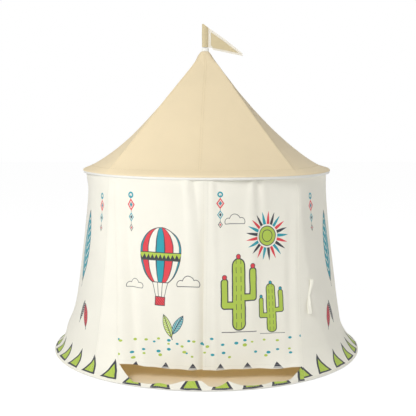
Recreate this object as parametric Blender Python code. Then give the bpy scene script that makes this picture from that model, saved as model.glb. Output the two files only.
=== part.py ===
# Castle play tent at its real size: metres, +Z up, doorway towards -Y.
# The origin is the middle of the floor sheet, on the ground.
# Azimuths are in degrees, 0 at the doorway and positive towards +X.
import math

import bmesh
import bpy
from mathutils import Vector

for old in list(bpy.data.objects):
    bpy.data.objects.remove(old, do_unlink=True)

# Overall sizes
BASE_OUTER_R = 0.600      # outside of the hem round the floor
EAVES_OUTER_R = 0.480     # outside of the hem round the eaves
EAVES_Z = 0.7056          # centre line of the eaves hoop
PEAK_Z = 1.158            # top edge of the roof cloth
PEAK_R = 0.0175           # radius of the roof cloth there
GAP = 0.0003              # clearance between pieces that touch
CLOTH_T = 0.0014          # coated cloth with its seam turnings
SEAM_GAP = 0.1            # degrees between neighbouring cloth panels
HOOP_STEPS = 60           # straight facets round each hoop
ROUND_SIDES = 12          # sides of poles and sockets

# Hoops: fibreglass rods joined by steel ferrules, inside a sewn hem
HOOP_ROD_R = 0.0042
HOOP_ROD_SIDES = 6
FERRULE_T = 0.0008
FERRULE_LENGTH = 0.044
FERRULE_SIDES = 10
HEM_T = 0.0013
HEM_SLIT = 30.0           # degrees each side of the stitched opening
HEM_FACETS = 8
HOOP_JOINTS = (63.0, 183.0, 303.0)

# Frame poles, one leg and one roof pole at each corner
POLE_R = 0.0045
SOCKET_T = 0.0027
SOCKET_DEPTH = 0.026
SOCKET_FLOOR = 0.006      # solid plastic behind a socket's bore
FRAME_TURN = -3.2         # degrees that the poles stand round from the doorway's middle
CORNERS = {name: azimuth + FRAME_TURN for name, azimuth in (
    ("front_right", 45.0), ("rear_right", 135.0), ("rear_left", 225.0), ("front_left", 315.0))}
LEG_CLEARANCE = 0.0015    # between a leg and the wall cloth that leans on it
LEG_CHECKS = 12           # heights at which that clearance is kept
FOOT_FLANGE_R = 0.016
FOOT_FLANGE_T = 0.003
FOOT_HEIGHT = 0.034

# Top hub, flag mast and the ring that closes the peak
HUB_R = 0.0135
HUB_LENGTH = 0.046
HUB_SIDES = 20
HUB_DROP = 0.0035         # top of the hub below the roof's top edge
HUB_SOCKET_R = 0.030      # radius at which a roof pole ends
HUB_SOCKET_DROP = 0.031   # that end below the roof's top edge
HUB_WALL = 0.0020
MAST_R = 0.0040
MAST_LENGTH = 0.127
MAST_SEAT = 0.036         # length of mast inside the hub
CAP_HEIGHT = 0.020
CAP_SHOULDER = 0.7        # share of that height below the rounded top
CAP_OUTER_R = 0.0180
CAP_TOP_R = 0.0155
CAP_SIDES = 24

# Roof: eight gores, straight over the poles and drawn in between them
GORES = 8
ROOF_DRAW = 0.31
ROOF_DRAW_POWER = 0.5
ROOF_ROUND = 0.9          # share of the height above which it turns round again
ROOF_ROWS = 10
ROOF_CROWD = 1.2          # rows closer together near the eaves
GORE_COLUMNS = 5
ROOF_SEAT_ANGLE = 115.0   # where the roof's edge sits on the eaves hem

# Walls: a slow flare, then a kick out to the hem on the floor
JAMB = 42.0
WALL_SEAMS = (42.0, 90.0, 138.0, 180.0, 222.0, 270.0, 318.0)
WALL_SEAT_ANGLE = 215.0   # where the wall hangs from the eaves hem
WALL_FOOT_ANGLE = 120.0   # where it lands on the base hem
SKIRT_Z = 0.105
SKIRT_R = 0.5345
WALL_FLARE_POWER = 1.5
SKIRT_KICK_POWER = 1.1
WALL_ROWS = 6
SKIRT_ROWS = 3

# Doorway: low sill, sewn header and two curtains
SILL_Z = 0.029
SILL_CORNER_RISE = 0.115
SILL_CORNER_SPAN = 13.0
SILL_ROWS = 4
DOOR_COLUMNS = 28             # columns from jamb to jamb
HEADER_T = 0.0012
HEADER_WIDTH = 0.0285
HEADER_SPAN = 40.5            # its end, short of the elbow at the right jamb
CURTAIN_EDGE = 47.0           # azimuth of the edge tucked behind the jamb
CURTAIN_CLEARANCE = 0.003     # to the elbows that the curtain passes
CURTAIN_EASE = 0.013          # leans out less than the legs, radius for each metre down
CURTAIN_HEM_Z = 0.043
CURTAIN_HEM_DROP = 0.006      # hem lower at the jamb than at the middle
CURTAIN_FOLDS = 3.5           # main folds across one curtain
CURTAIN_FOLD_TOP = 0.0012
CURTAIN_FOLD_HEM = 0.0050
CURTAIN_COLUMNS = 21
CURTAIN_ROWS = 10

# Tie-back ribbon on the right jamb
RIBBON_AZIMUTH = 44.8
RIBBON_WIDTH = 0.012
RIBBON_Z = (0.215, 0.336)
RIBBON_T = 0.0010
RIBBON_COLUMNS = 2
RIBBON_ROWS = 6

# Flag: a cloth pocket over the mast with a pennant sewn to it
SLEEVE_HALF_WIDTH = 0.0130
SLEEVE_HALF_T = 0.0062
SLEEVE_OFFSET_X = -0.0050
SLEEVE_LENGTH = 0.089
SLEEVE_PLAY = 0.0006
SLEEVE_SIDES = 16
FLAG_SLANT = 0.744
FLAG_PEAK_X = -0.0120         # the top edge falls away from here
PENNANT_FOOT_DROP = 0.0045    # lower edge below the sleeve's end, beside the cap
PENNANT_TIP_X = 0.1415
PENNANT_TIP_DROP = 0.0320     # tip's lower corner below the sleeve's end
PENNANT_TIP_HEIGHT = 0.006
PENNANT_T = 0.0012

# Sizes that follow from those above
ferrule_in = HOOP_ROD_R + GAP
ferrule_out = ferrule_in + FERRULE_T
hem_facet = (360.0 - 2 * HEM_SLIT) / HEM_FACETS
hem_in = (ferrule_out + GAP) / math.cos(math.radians(hem_facet / 2))
hem_out = hem_in + HEM_T
base_hoop_r = BASE_OUTER_R - hem_out
base_hoop_z = hem_out
eaves_hoop_r = EAVES_OUTER_R - hem_out
seat = hem_out + GAP + CLOTH_T / 2
socket_in = POLE_R + GAP
socket_out = socket_in + SOCKET_T


# Materials

def finish(name, colour, roughness, metallic=0.0):
    material = bpy.data.materials.new(name)
    material.use_nodes = True
    shader = material.node_tree.nodes["Principled BSDF"]
    shader.inputs["Base Color"].default_value = (*colour, 1.0)
    shader.inputs["Roughness"].default_value = roughness
    shader.inputs["Metallic"].default_value = metallic
    return material


roof_cloth = finish("tan_cloth", (0.80, 0.66, 0.46), 0.85)
wall_cloth = finish("ivory_cloth", (0.86, 0.84, 0.76), 0.85)
white_binding = finish("white_binding", (0.84, 0.84, 0.80), 0.80)
floor_cloth = finish("floor_cloth", (0.66, 0.53, 0.34), 0.85)
fibreglass = finish("fibreglass", (0.78, 0.77, 0.70), 0.45)
steel = finish("ferrule_steel", (0.62, 0.62, 0.60), 0.30, 1.0)
socket_plastic = finish("socket_plastic", (0.80, 0.80, 0.78), 0.40)


# Shapes

def polar(radius, azimuth, height):
    angle = math.radians(azimuth)
    return Vector((radius * math.sin(angle), -radius * math.cos(angle), height))


def on_facets(radius, azimuth):
    """Radius at an azimuth on the hoops' flat facets, for pieces that lie along a hem."""
    step = 360.0 / HOOP_STEPS
    inside = azimuth % step
    return radius * math.cos(math.radians(step / 2)) / math.cos(math.radians(inside - step / 2))


def spread(start, end, count):
    return [start + (end - start) * i / count for i in range(count + 1)]


def new_object(name, points, faces, material, smooth=40.0):
    """One closed mesh object with its faces pointing out."""
    mesh = bpy.data.meshes.new(name)
    bm = bmesh.new()
    verts = [bm.verts.new(point) for point in points]
    for face in faces:
        bm.faces.new([verts[i] for i in face])
    bmesh.ops.recalc_face_normals(bm, faces=bm.faces)
    bm.to_mesh(mesh)
    bm.free()
    mesh.shade_smooth()
    mesh.set_sharp_from_angle(angle=math.radians(smooth))
    mesh.materials.append(material)
    obj = bpy.data.objects.new(name, mesh)
    bpy.context.scene.collection.objects.link(obj)
    return obj


def loft(name, rings, material):
    """Skin through a list of rings with as many points each, closed by a fan at both ends."""
    sides = len(rings[0])
    points = [point for ring in rings for point in ring]
    faces = []
    for row in range(len(rings) - 1):
        for i in range(sides):
            j = (i + 1) % sides
            a, b = row * sides, (row + 1) * sides
            faces.append((a + i, a + j, b + j, b + i))
    for row in (0, len(rings) - 1):
        centre = sum(rings[row], Vector()) / sides
        points.append(centre)
        for i in range(sides):
            faces.append((row * sides + i, row * sides + (i + 1) % sides, len(points) - 1))
    return new_object(name, points, faces, material)


def ring_round(centre, normal, radius, sides, level):
    """Points of a circle round a centre, square to a normal, from a level direction."""
    up = normal.normalized().cross(level)
    turns = [math.tau * i / sides for i in range(sides)]
    return [centre + radius * (math.cos(t) * level + math.sin(t) * up) for t in turns]


def rod(name, start, end, radius, level, material, sides=ROUND_SIDES):
    along = end - start
    rings = [ring_round(p, along, radius, sides, level) for p in (start, end)]
    return loft(name, rings, material)


def cloth_shell(name, across, up, surface, thickness, material):
    """A sheet of cloth: surface gives radius, azimuth and height. Both of its faces are
    split along the same diagonals, so it is equally thick where it is not flat."""
    points = []
    for side in (1, -1):
        for v in up:
            for u in across:
                radius, azimuth, height = surface(u, v)
                points.append(polar(radius + side * thickness / 2, azimuth, height))
    wide, tall = len(across), len(up)
    inner = wide * tall
    faces = []
    for row in range(tall - 1):
        for i in range(wide - 1):
            a = row * wide + i
            for corners in ((a, a + 1, a + wide + 1), (a, a + wide + 1, a + wide)):
                faces.append(corners)
                faces.append(tuple(inner + k for k in reversed(corners)))
    rim = [i for i in range(wide)]
    rim += [row * wide + wide - 1 for row in range(1, tall)]
    rim += [(tall - 1) * wide + i for i in range(wide - 2, -1, -1)]
    rim += [row * wide for row in range(tall - 2, 0, -1)]
    for a, b in zip(rim, rim[1:] + rim[:1]):
        faces.append((a, b, inner + b, inner + a))
    return new_object(name, points, faces, material)


# Hoops in their hems

def hem(name, hoop_r, hoop_z, material):
    """A cloth channel round a hoop, open where it is stitched on the inside."""
    turns = [180.0 + HEM_SLIT + hem_facet * i for i in range(HEM_FACETS + 1)]
    profile = [(hem_out, turn) for turn in turns] + [(hem_in, turn) for turn in reversed(turns)]
    points = []
    for step in range(HOOP_STEPS):
        azimuth = 360.0 * step / HOOP_STEPS
        for radius, turn in profile:
            out = radius * math.cos(math.radians(turn))
            up = radius * math.sin(math.radians(turn))
            points.append(polar(hoop_r + out, azimuth, hoop_z + up))
    count = len(profile)
    faces = []
    for step in range(HOOP_STEPS):
        a, b = step * count, ((step + 1) % HOOP_STEPS) * count
        for i in range(count):
            j = (i + 1) % count
            faces.append((a + i, a + j, b + j, b + i))
    return new_object(name, points, faces, material)


def hoop_rod(name, start, end, hoop_r, hoop_z):
    """A bent rod between two joints, a clearance short of the middle of each ferrule."""
    step = 360.0 / HOOP_STEPS
    corners = [step * i for i in range(int(start / step) + 1, int(end / step) + 1)]
    short = math.degrees(GAP / hoop_r)
    azimuths = [start + short] + corners + [end - short]
    rings = []
    for azimuth in azimuths:
        radius = on_facets(hoop_r, azimuth)
        ring = []
        for i in range(HOOP_ROD_SIDES):
            turn = math.tau * i / HOOP_ROD_SIDES
            out, up = HOOP_ROD_R * math.cos(turn), HOOP_ROD_R * math.sin(turn)
            ring.append(polar(radius + out, azimuth, hoop_z + up))
        rings.append(ring)
    return loft(name, rings, fibreglass)


def tube(name, start, end, inner_r, outer_r, material, sides):
    along = end - start
    level = Vector((0, 0, 1)).cross(along).normalized()
    rings = [ring_round(start, along, inner_r, sides, level),
             ring_round(start, along, outer_r, sides, level),
             ring_round(end, along, outer_r, sides, level),
             ring_round(end, along, inner_r, sides, level)]
    points = [point for ring in rings for point in ring]
    faces = []
    for row in range(4):
        a, b = row * sides, ((row + 1) % 4) * sides
        for i in range(sides):
            j = (i + 1) % sides
            faces.append((a + i, a + j, b + j, b + i))
    return new_object(name, points, faces, material)


def hoop(prefix, hoop_r, hoop_z):
    hem(prefix + "_hem", hoop_r, hoop_z, white_binding)
    ends = HOOP_JOINTS[1:] + (HOOP_JOINTS[0] + 360.0,)
    for number, (start, end) in enumerate(zip(HOOP_JOINTS, ends), 1):
        hoop_rod(f"{prefix}_rod_{number}", start, end, hoop_r, hoop_z)
        middle = polar(on_facets(hoop_r, start), start, hoop_z)
        along = polar(1.0, start + 90.0, 0.0) * FERRULE_LENGTH / 2
        tube(f"{prefix}_ferrule_{number}", middle - along, middle + along,
             ferrule_in, ferrule_out, steel, FERRULE_SIDES)


def floor_sheet():
    """The sewn-in floor, its edge tucked beside the base hem."""
    reach = math.sqrt((hem_out + GAP) ** 2 - (base_hoop_z - CLOTH_T) ** 2)
    radius = base_hoop_r - reach
    rings = []
    for height in (0.0, CLOTH_T):
        rings.append([polar(radius, 360.0 * i / HOOP_STEPS, height) for i in range(HOOP_STEPS)])
    return loft("floor_mat", rings, floor_cloth)


# Walls, roof and their seats on the hems

def hem_seat(hoop_r, hoop_z, angle):
    turn = math.radians(angle)
    return hoop_r + seat * math.cos(turn), hoop_z + seat * math.sin(turn)


wall_top_r, wall_top_z = hem_seat(eaves_hoop_r, EAVES_Z, WALL_SEAT_ANGLE)
wall_foot_r, wall_foot_z = hem_seat(base_hoop_r, base_hoop_z, WALL_FOOT_ANGLE)
roof_edge_r, roof_edge_z = hem_seat(eaves_hoop_r, EAVES_Z, ROOF_SEAT_ANGLE)


def wall_radius(height):
    if height > SKIRT_Z:
        drop = (wall_top_z - height) / (wall_top_z - SKIRT_Z)
        return wall_top_r + (SKIRT_R - wall_top_r) * max(drop, 0.0) ** WALL_FLARE_POWER
    kick = (SKIRT_Z - height) / (SKIRT_Z - wall_foot_z)
    return SKIRT_R + (wall_foot_r - SKIRT_R) * kick ** SKIRT_KICK_POWER


def wall_surface(azimuth, height):
    return on_facets(wall_radius(height), azimuth), azimuth, height


wall_rows = spread(wall_foot_z, SKIRT_Z, SKIRT_ROWS) + spread(SKIRT_Z, wall_top_z, WALL_ROWS)[1:]


def wall_line(height):
    """Wall radius on the straight facet between two rows, for what lies on the cloth."""
    for low, high in zip(wall_rows, wall_rows[1:]):
        if height <= high:
            share = (height - low) / (high - low)
            return wall_radius(low) + (wall_radius(high) - wall_radius(low)) * share
    return wall_top_r


def wall_inside(height):
    """Least radius of the wall cloth's inner face."""
    return wall_line(height) * math.cos(math.radians(180.0 / HOOP_STEPS)) - CLOTH_T / 2


def walls():
    step = 360.0 / HOOP_STEPS
    for number, (start, end) in enumerate(zip(WALL_SEAMS, WALL_SEAMS[1:]), 1):
        inner = [step * i for i in range(int(start / step) + 1, int((end - 1e-6) / step) + 1)]
        across = [start + SEAM_GAP / 2] + inner + [end - SEAM_GAP / 2]
        cloth_shell(f"wall_panel_{number}", across, wall_rows, wall_surface, CLOTH_T, wall_cloth)


def ridge_radius(height):
    share = (height - roof_edge_z) / (PEAK_Z - roof_edge_z)
    return roof_edge_r + (PEAK_R - roof_edge_r) * share


def roof_surface(azimuth, height):
    """Straight up each pole, and drawn towards the chord between two poles."""
    share = (height - roof_edge_z) / (PEAK_Z - roof_edge_z)
    off_middle = (azimuth - FRAME_TURN + 45.0) % 90.0 - 45.0
    corner = math.cos(math.radians(45.0))
    chord = corner / math.cos(math.radians(off_middle))
    fade = min(1.0, (1.0 - share) / (1.0 - ROOF_ROUND))
    draw = fade * ROOF_DRAW * share ** ROOF_DRAW_POWER / (1.0 - corner)
    return ridge_radius(height) * (1.0 - draw + draw * chord), azimuth, height


def roof():
    rows = [(i / ROOF_ROWS) ** ROOF_CROWD for i in range(ROOF_ROWS + 1)]
    heights = [roof_edge_z + (PEAK_Z - roof_edge_z) * row for row in rows]
    width = 360.0 / GORES
    for number in range(GORES):
        start = FRAME_TURN + number * width
        across = spread(start + SEAM_GAP / 2, start + width - SEAM_GAP / 2, GORE_COLUMNS)
        cloth_shell(f"roof_gore_{number + 1}", across, heights, roof_surface,
                    CLOTH_T, roof_cloth)


# Frame of poles

elbow_mouth = SOCKET_FLOOR + SOCKET_DEPTH
mouth_z = wall_top_z - elbow_mouth
mouth_r = wall_inside(mouth_z) - GAP - socket_out
leg_slope = min((wall_inside(z) - POLE_R - LEG_CLEARANCE - mouth_r) / (mouth_z - z)
                for z in spread(SKIRT_Z, mouth_z, LEG_CHECKS)[:-1])
ridge_slope = (PEAK_Z - roof_edge_z) / (roof_edge_r - PEAK_R)
pole_inset = (CLOTH_T / 2 + GAP + socket_out) * math.sqrt(1.0 + ridge_slope ** 2)
pole_line_z = roof_edge_z + roof_edge_r * ridge_slope - pole_inset
knuckle_r = ((mouth_r - leg_slope * (pole_line_z - mouth_z))
             / (1.0 - leg_slope * ridge_slope))
knuckle_z = pole_line_z - ridge_slope * knuckle_r
foot_z = CLOTH_T + GAP
foot_r = knuckle_r + leg_slope * (knuckle_z - foot_z)
hub_top_z = PEAK_Z - HUB_DROP


def corner_frame(name, azimuth):
    """A leg, its foot, the elbow over it and the roof pole up to the hub."""
    knuckle = polar(knuckle_r, azimuth, knuckle_z)
    foot = polar(foot_r, azimuth, foot_z)
    peak = polar(HUB_SOCKET_R, azimuth, PEAK_Z - HUB_SOCKET_DROP)
    down = (foot - knuckle).normalized()
    up = (peak - knuckle).normalized()
    level = polar(1.0, azimuth + 90.0, 0.0)
    elbow(f"eaves_elbow_{name}", knuckle, down, up, level)
    leg_foot(f"leg_foot_{name}", foot, -down, level)
    seat_end = SOCKET_FLOOR + GAP
    rod(f"leg_pole_{name}", foot - down * seat_end, knuckle + down * seat_end,
        POLE_R, level, fibreglass)
    rod(f"roof_pole_{name}", knuckle + up * seat_end, peak - up * GAP,
        POLE_R, level, fibreglass)


def elbow(name, knuckle, down, up, level):
    """A bent plastic joint with a blind socket at each end."""
    mitre = (up - down).normalized()
    bend = math.sqrt((1.0 + up.dot(-down)) / 2.0)
    mouth = elbow_mouth
    rings = []
    for distance, radius in ((SOCKET_FLOOR, socket_in), (mouth, socket_in), (mouth, socket_out)):
        rings.append(ring_round(knuckle + down * distance, -down, radius, ROUND_SIDES, level))
    wide = mitre.cross(level)
    rings.append([p + wide * (p - knuckle).dot(wide) * (1 / bend - 1)
                  for p in ring_round(knuckle, mitre, socket_out, ROUND_SIDES, level)])
    for distance, radius in ((mouth, socket_out), (mouth, socket_in), (SOCKET_FLOOR, socket_in)):
        rings.append(ring_round(knuckle + up * distance, up, radius, ROUND_SIDES, level))
    return loft(name, rings, socket_plastic)


def leg_foot(name, foot, along, level):
    """A flanged cup on the floor sheet that holds the leg's lower end."""
    sides = ROUND_SIDES
    rise = Vector((0, 0, 1))
    waist = foot + along * (FOOT_FLANGE_T * 2)
    mouth = foot + along * FOOT_HEIGHT
    rings = [ring_round(foot, rise, FOOT_FLANGE_R, sides, level),
             ring_round(foot + rise * FOOT_FLANGE_T, rise, FOOT_FLANGE_R, sides, level),
             ring_round(waist, along, socket_out, sides, level),
             ring_round(mouth, along, socket_out, sides, level),
             ring_round(mouth, along, socket_in, sides, level),
             ring_round(foot + along * SOCKET_FLOOR, along, socket_in, sides, level)]
    return loft(name, rings, socket_plastic)


def cutter(obj):
    obj.display_type = "WIRE"
    obj.hide_render = True
    return obj


def combine(target, tool, operation):
    change = target.modifiers.new(tool.name, "BOOLEAN")
    change.object = tool
    change.operation = operation
    change.solver = "EXACT"


def peak_hub():
    """Four sockets for the roof poles round a core that holds the mast."""
    top = Vector((0, 0, hub_top_z))
    ahead = Vector((1, 0, 0))
    hub = rod("peak_hub", top - Vector((0, 0, HUB_LENGTH)), top, HUB_R, ahead,
              socket_plastic, HUB_SIDES)
    sleeve_r = socket_in + HUB_WALL
    for name, azimuth in CORNERS.items():
        peak = polar(HUB_SOCKET_R, azimuth, PEAK_Z - HUB_SOCKET_DROP)
        down = (polar(knuckle_r, azimuth, knuckle_z) - peak).normalized()
        start = peak - down * (HUB_SOCKET_R - HUB_R / 2)
        level = polar(1.0, azimuth + 90.0, 0.0)
        arm = rod(f"hub_arm_{name}", start, peak + down * SOCKET_DEPTH, sleeve_r, level,
                  socket_plastic)
        combine(hub, cutter(arm), "UNION")
    for name, azimuth in CORNERS.items():
        peak = polar(HUB_SOCKET_R, azimuth, PEAK_Z - HUB_SOCKET_DROP)
        down = (polar(knuckle_r, azimuth, knuckle_z) - peak).normalized()
        level = polar(1.0, azimuth + 90.0, 0.0)
        bore = rod(f"hub_bore_{name}", peak, peak + down * 2 * SOCKET_DEPTH, socket_in, level,
                   socket_plastic)
        combine(hub, cutter(bore), "DIFFERENCE")
    bottom = top - Vector((0, 0, MAST_SEAT + GAP))
    mast_bore = rod("hub_bore_mast", bottom, top + Vector((0, 0, HUB_DROP)), MAST_R + GAP,
                    ahead, socket_plastic)
    combine(hub, cutter(mast_bore), "DIFFERENCE")
    start = top - Vector((0, 0, MAST_SEAT))
    rod("flag_mast", start, start + Vector((0, 0, MAST_LENGTH)), MAST_R, ahead, fibreglass)


def turned(name, profile, material, steps):
    """A closed profile of radius and height turned round the tent's axis."""
    points = []
    for step in range(steps):
        points += [polar(radius, 360.0 * step / steps, height) for radius, height in profile]
    count = len(profile)
    faces = []
    for step in range(steps):
        a, b = step * count, ((step + 1) % steps) * count
        for i in range(count):
            j = (i + 1) % count
            faces.append((a + i, a + j, b + j, b + i))
    return new_object(name, points, faces, material)


def peak_cap():
    bottom = PEAK_Z + GAP
    shoulder = bottom + CAP_HEIGHT * CAP_SHOULDER
    hole = MAST_R + GAP
    profile = [(hole, bottom), (CAP_OUTER_R, bottom), (CAP_OUTER_R, shoulder),
               (CAP_TOP_R, bottom + CAP_HEIGHT), (hole, bottom + CAP_HEIGHT)]
    return turned("peak_cap", profile, white_binding, CAP_SIDES)


# Doorway

header_z = wall_top_z - HEADER_T
curtain_top_z = header_z - GAP
curtain_top_r = (knuckle_r - socket_out - CURTAIN_CLEARANCE
                 - CLOTH_T / 2 - CURTAIN_FOLD_TOP)


def door_sill():
    """The low strip under the doorway, rounded up into both jambs."""
    across = spread(-JAMB + SEAM_GAP / 2, JAMB - SEAM_GAP / 2, DOOR_COLUMNS)

    def surface(azimuth, v):
        near = max(0.0, abs(azimuth) - (JAMB - SILL_CORNER_SPAN)) / SILL_CORNER_SPAN
        top = SILL_Z + SILL_CORNER_RISE * (1.0 - math.sqrt(1.0 - min(near, 1.0) ** 2))
        return wall_surface(azimuth, wall_foot_z + (top - wall_foot_z) * v)

    up = spread(0.0, 1.0, SILL_ROWS)
    return cloth_shell("door_sill", across, up, surface, CLOTH_T, wall_cloth)


def door_header():
    """A flat tape sewn inside the eaves hem; the curtains hang from its inner edge."""
    outer = wall_top_r + CLOTH_T / 2
    across = spread(-HEADER_SPAN, HEADER_SPAN, DOOR_COLUMNS)
    middle = header_z + HEADER_T / 2
    points, faces = [], []
    for height in (middle - HEADER_T / 2, middle + HEADER_T / 2):
        for radius in (outer - HEADER_WIDTH, outer):
            points += [polar(on_facets(radius, azimuth), azimuth, height) for azimuth in across]
    count = len(across)
    rows = (0, 1, 3, 2)
    for first, second in zip(rows, rows[1:] + rows[:1]):
        for i in range(count - 1):
            a, b = first * count + i, second * count + i
            faces.append((a, a + 1, b + 1, b))
    for i in (0, count - 1):
        faces.append(tuple(row * count + i for row in rows))
    return new_object("door_header", points, faces, white_binding)


def curtain(name, start, end):
    """One hanging curtain with its main folds, deeper towards the hem."""
    across = spread(start, end, CURTAIN_COLUMNS)
    up = spread(0.0, 1.0, CURTAIN_ROWS)

    def surface(azimuth, v):
        share = abs(azimuth) / CURTAIN_EDGE
        hem_z = CURTAIN_HEM_Z - CURTAIN_HEM_DROP * share ** 2
        height = hem_z + (curtain_top_z - hem_z) * v
        depth = CURTAIN_FOLD_HEM + (CURTAIN_FOLD_TOP - CURTAIN_FOLD_HEM) * v
        fold = depth * math.cos(math.tau * CURTAIN_FOLDS * share)
        lean = (leg_slope - CURTAIN_EASE) * (curtain_top_z - height)
        return curtain_top_r + lean + fold, azimuth, height

    return cloth_shell(name, across, up, surface, CLOTH_T, wall_cloth)


def tie_ribbon():
    """A ribbon folded in two and stitched to the wall beside the right jamb."""
    half = math.degrees(RIBBON_WIDTH / 2 / SKIRT_R)
    lift = CLOTH_T / 2 + GAP + RIBBON_T / 2

    def surface(azimuth, height):
        return on_facets(wall_line(height) + lift, azimuth), azimuth, height

    across = spread(RIBBON_AZIMUTH - half, RIBBON_AZIMUTH + half, RIBBON_COLUMNS)
    heights = spread(RIBBON_Z[0], RIBBON_Z[1], RIBBON_ROWS)
    return cloth_shell("tie_ribbon", across, heights, surface, RIBBON_T, wall_cloth)


# Flag

sleeve_z = PEAK_Z + GAP + CAP_HEIGHT + GAP
sleeve_top_z = sleeve_z + SLEEVE_LENGTH
mast_top_z = hub_top_z - MAST_SEAT + MAST_LENGTH


def flag_top(x):
    return sleeve_top_z - FLAG_SLANT * max(0.0, x - FLAG_PEAK_X)


def flag():
    turns = [math.tau * i / SLEEVE_SIDES for i in range(SLEEVE_SIDES)]
    bore = MAST_R + SLEEVE_PLAY
    pocket = mast_top_z + GAP * 2
    inner = [Vector((bore * math.cos(t), bore * math.sin(t), 0.0)) for t in turns]
    outer = [Vector((SLEEVE_OFFSET_X + SLEEVE_HALF_WIDTH * math.cos(t),
                     SLEEVE_HALF_T * math.sin(t), 0.0)) for t in turns]
    rings = [[p + Vector((0, 0, pocket)) for p in inner],
             [p + Vector((0, 0, sleeve_z)) for p in inner],
             [p + Vector((0, 0, sleeve_z)) for p in outer],
             [p + Vector((0, 0, flag_top(p.x))) for p in outer]]
    loft("flag_sleeve", rings, roof_cloth)

    near = SLEEVE_OFFSET_X + SLEEVE_HALF_WIDTH + GAP
    tip_low = sleeve_z - PENNANT_TIP_DROP
    beside_cap = CAP_OUTER_R + GAP
    outline = [(near, sleeve_z), (beside_cap, sleeve_z), (beside_cap, sleeve_z - PENNANT_FOOT_DROP),
               (PENNANT_TIP_X, tip_low), (PENNANT_TIP_X, tip_low + PENNANT_TIP_HEIGHT),
               (near, flag_top(near))]
    points = [Vector((x, side * PENNANT_T / 2, z)) for side in (1, -1) for x, z in outline]
    count = len(outline)
    faces = [tuple(range(count)), tuple(count + i for i in reversed(range(count)))]
    faces += [(i, (i + 1) % count, count + (i + 1) % count, count + i) for i in range(count)]
    new_object("flag_pennant", points, faces, roof_cloth)


floor_sheet()
hoop("base", base_hoop_r, base_hoop_z)
hoop("eaves", eaves_hoop_r, EAVES_Z)
for corner, corner_azimuth in CORNERS.items():
    corner_frame(corner, corner_azimuth)
peak_hub()
peak_cap()
roof()
walls()
door_sill()
door_header()
curtain("curtain_left", -CURTAIN_EDGE, -SEAM_GAP / 2)
curtain("curtain_right", SEAM_GAP / 2, CURTAIN_EDGE)
tie_ribbon()
flag()
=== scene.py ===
# %% [markdown]
# # A round cloth play tent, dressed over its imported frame
#
# The real thing is sewn cloth pulled over two hoops and eight thin poles. The
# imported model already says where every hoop, pole and cloth panel is, so this
# lesson only has to turn the plain panels into cloth and give each part its
# finish. It starts with the frame, because every later piece is measured on it.

import math
from functools import partialmethod

import bpy
import numpy as np
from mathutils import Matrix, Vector


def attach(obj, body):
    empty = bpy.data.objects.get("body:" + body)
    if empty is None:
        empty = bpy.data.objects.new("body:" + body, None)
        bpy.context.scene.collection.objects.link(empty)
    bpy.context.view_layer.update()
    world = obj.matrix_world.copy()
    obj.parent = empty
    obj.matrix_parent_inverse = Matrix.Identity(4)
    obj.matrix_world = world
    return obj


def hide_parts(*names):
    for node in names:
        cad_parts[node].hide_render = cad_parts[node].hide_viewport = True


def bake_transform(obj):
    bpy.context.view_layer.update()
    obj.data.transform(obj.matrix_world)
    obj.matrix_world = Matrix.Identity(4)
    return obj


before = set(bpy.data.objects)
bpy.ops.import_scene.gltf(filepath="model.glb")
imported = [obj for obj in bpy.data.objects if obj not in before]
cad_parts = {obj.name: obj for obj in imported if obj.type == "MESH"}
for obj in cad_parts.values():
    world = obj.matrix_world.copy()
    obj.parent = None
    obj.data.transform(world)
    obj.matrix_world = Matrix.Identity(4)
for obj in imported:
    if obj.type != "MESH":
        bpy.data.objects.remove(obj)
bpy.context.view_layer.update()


def new_object(name, data):
    """An object in the scene that shows this data."""
    made = bpy.data.objects.new(name, data)
    bpy.context.scene.collection.objects.link(made)
    return made


# %% [markdown]
# ## The camera
#
# A photograph fixes the camera's place as soon as a few real lengths are known.
# Here the two hoops are circles of known size, and circles seen from above turn
# into ellipses whose flatness gives the height. A long lens a little over three
# metres away fits both of them. The small shift only slides the frame sideways.

# %% The camera
CAMERA_AWAY = 3.2906
CAMERA_HEIGHT = 0.9075
CAMERA_DOWN = 6.181
FOCAL_PIXELS = 835.07
FRAME_PIXELS = 416
SENSOR_MM = 36.0
SLIDE_PIXELS = 1.5

camera_data = bpy.data.cameras.new("camera")
camera_data.sensor_width = SENSOR_MM
camera_data.lens = FOCAL_PIXELS / FRAME_PIXELS * SENSOR_MM
camera_data.shift_x = SLIDE_PIXELS / FRAME_PIXELS
camera = new_object("camera", camera_data)
camera.location = (0, -CAMERA_AWAY, CAMERA_HEIGHT)
camera.rotation_euler = (math.radians(90 - CAMERA_DOWN), 0, 0)
bpy.context.scene.camera = camera
print(f"lens {camera_data.lens:.1f} mm, {CAMERA_AWAY:.2f} m away")

# %% [markdown]
# ## Round places and sheets
#
# Everything on this tent goes round one upright axis, so a place is easiest to
# say as a radius, a height and an azimuth: 0 degrees faces the camera, and
# positive goes to the right. Cloth could be a flat plane with a Solidify
# modifier. A grid of points with its own inner layer is used here instead,
# because its rows and columns can run exactly along the seams, and the shell
# comes out closed, with every face turned outwards.


# %% Places, grids and closed shells
def around(radius, azimuth, height):
    """Points at a radius, an azimuth in degrees and a height."""
    turn = np.radians(azimuth)
    spots = np.broadcast_arrays(radius * np.sin(turn), -radius * np.cos(turn), height)
    return np.stack(spots, axis=-1).astype(float)


def ease(x):
    """0 below 0, 1 above 1, and a soft step between them."""
    x = np.clip(x, 0, 1)
    return x * x * (3 - 2 * x)


def wander(points, wavelength, seed):
    """A smooth field of about -1 to 1 in space, the same on each run."""
    draw = np.random.default_rng(seed)
    total = 0
    for _ in range(7):
        way = draw.normal(size=3)
        way /= np.linalg.norm(way) * wavelength * draw.uniform(0.7, 1.5)
        total = total + np.sin(2 * math.pi * (points @ way + draw.uniform()))
    return total / 3.2


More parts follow.
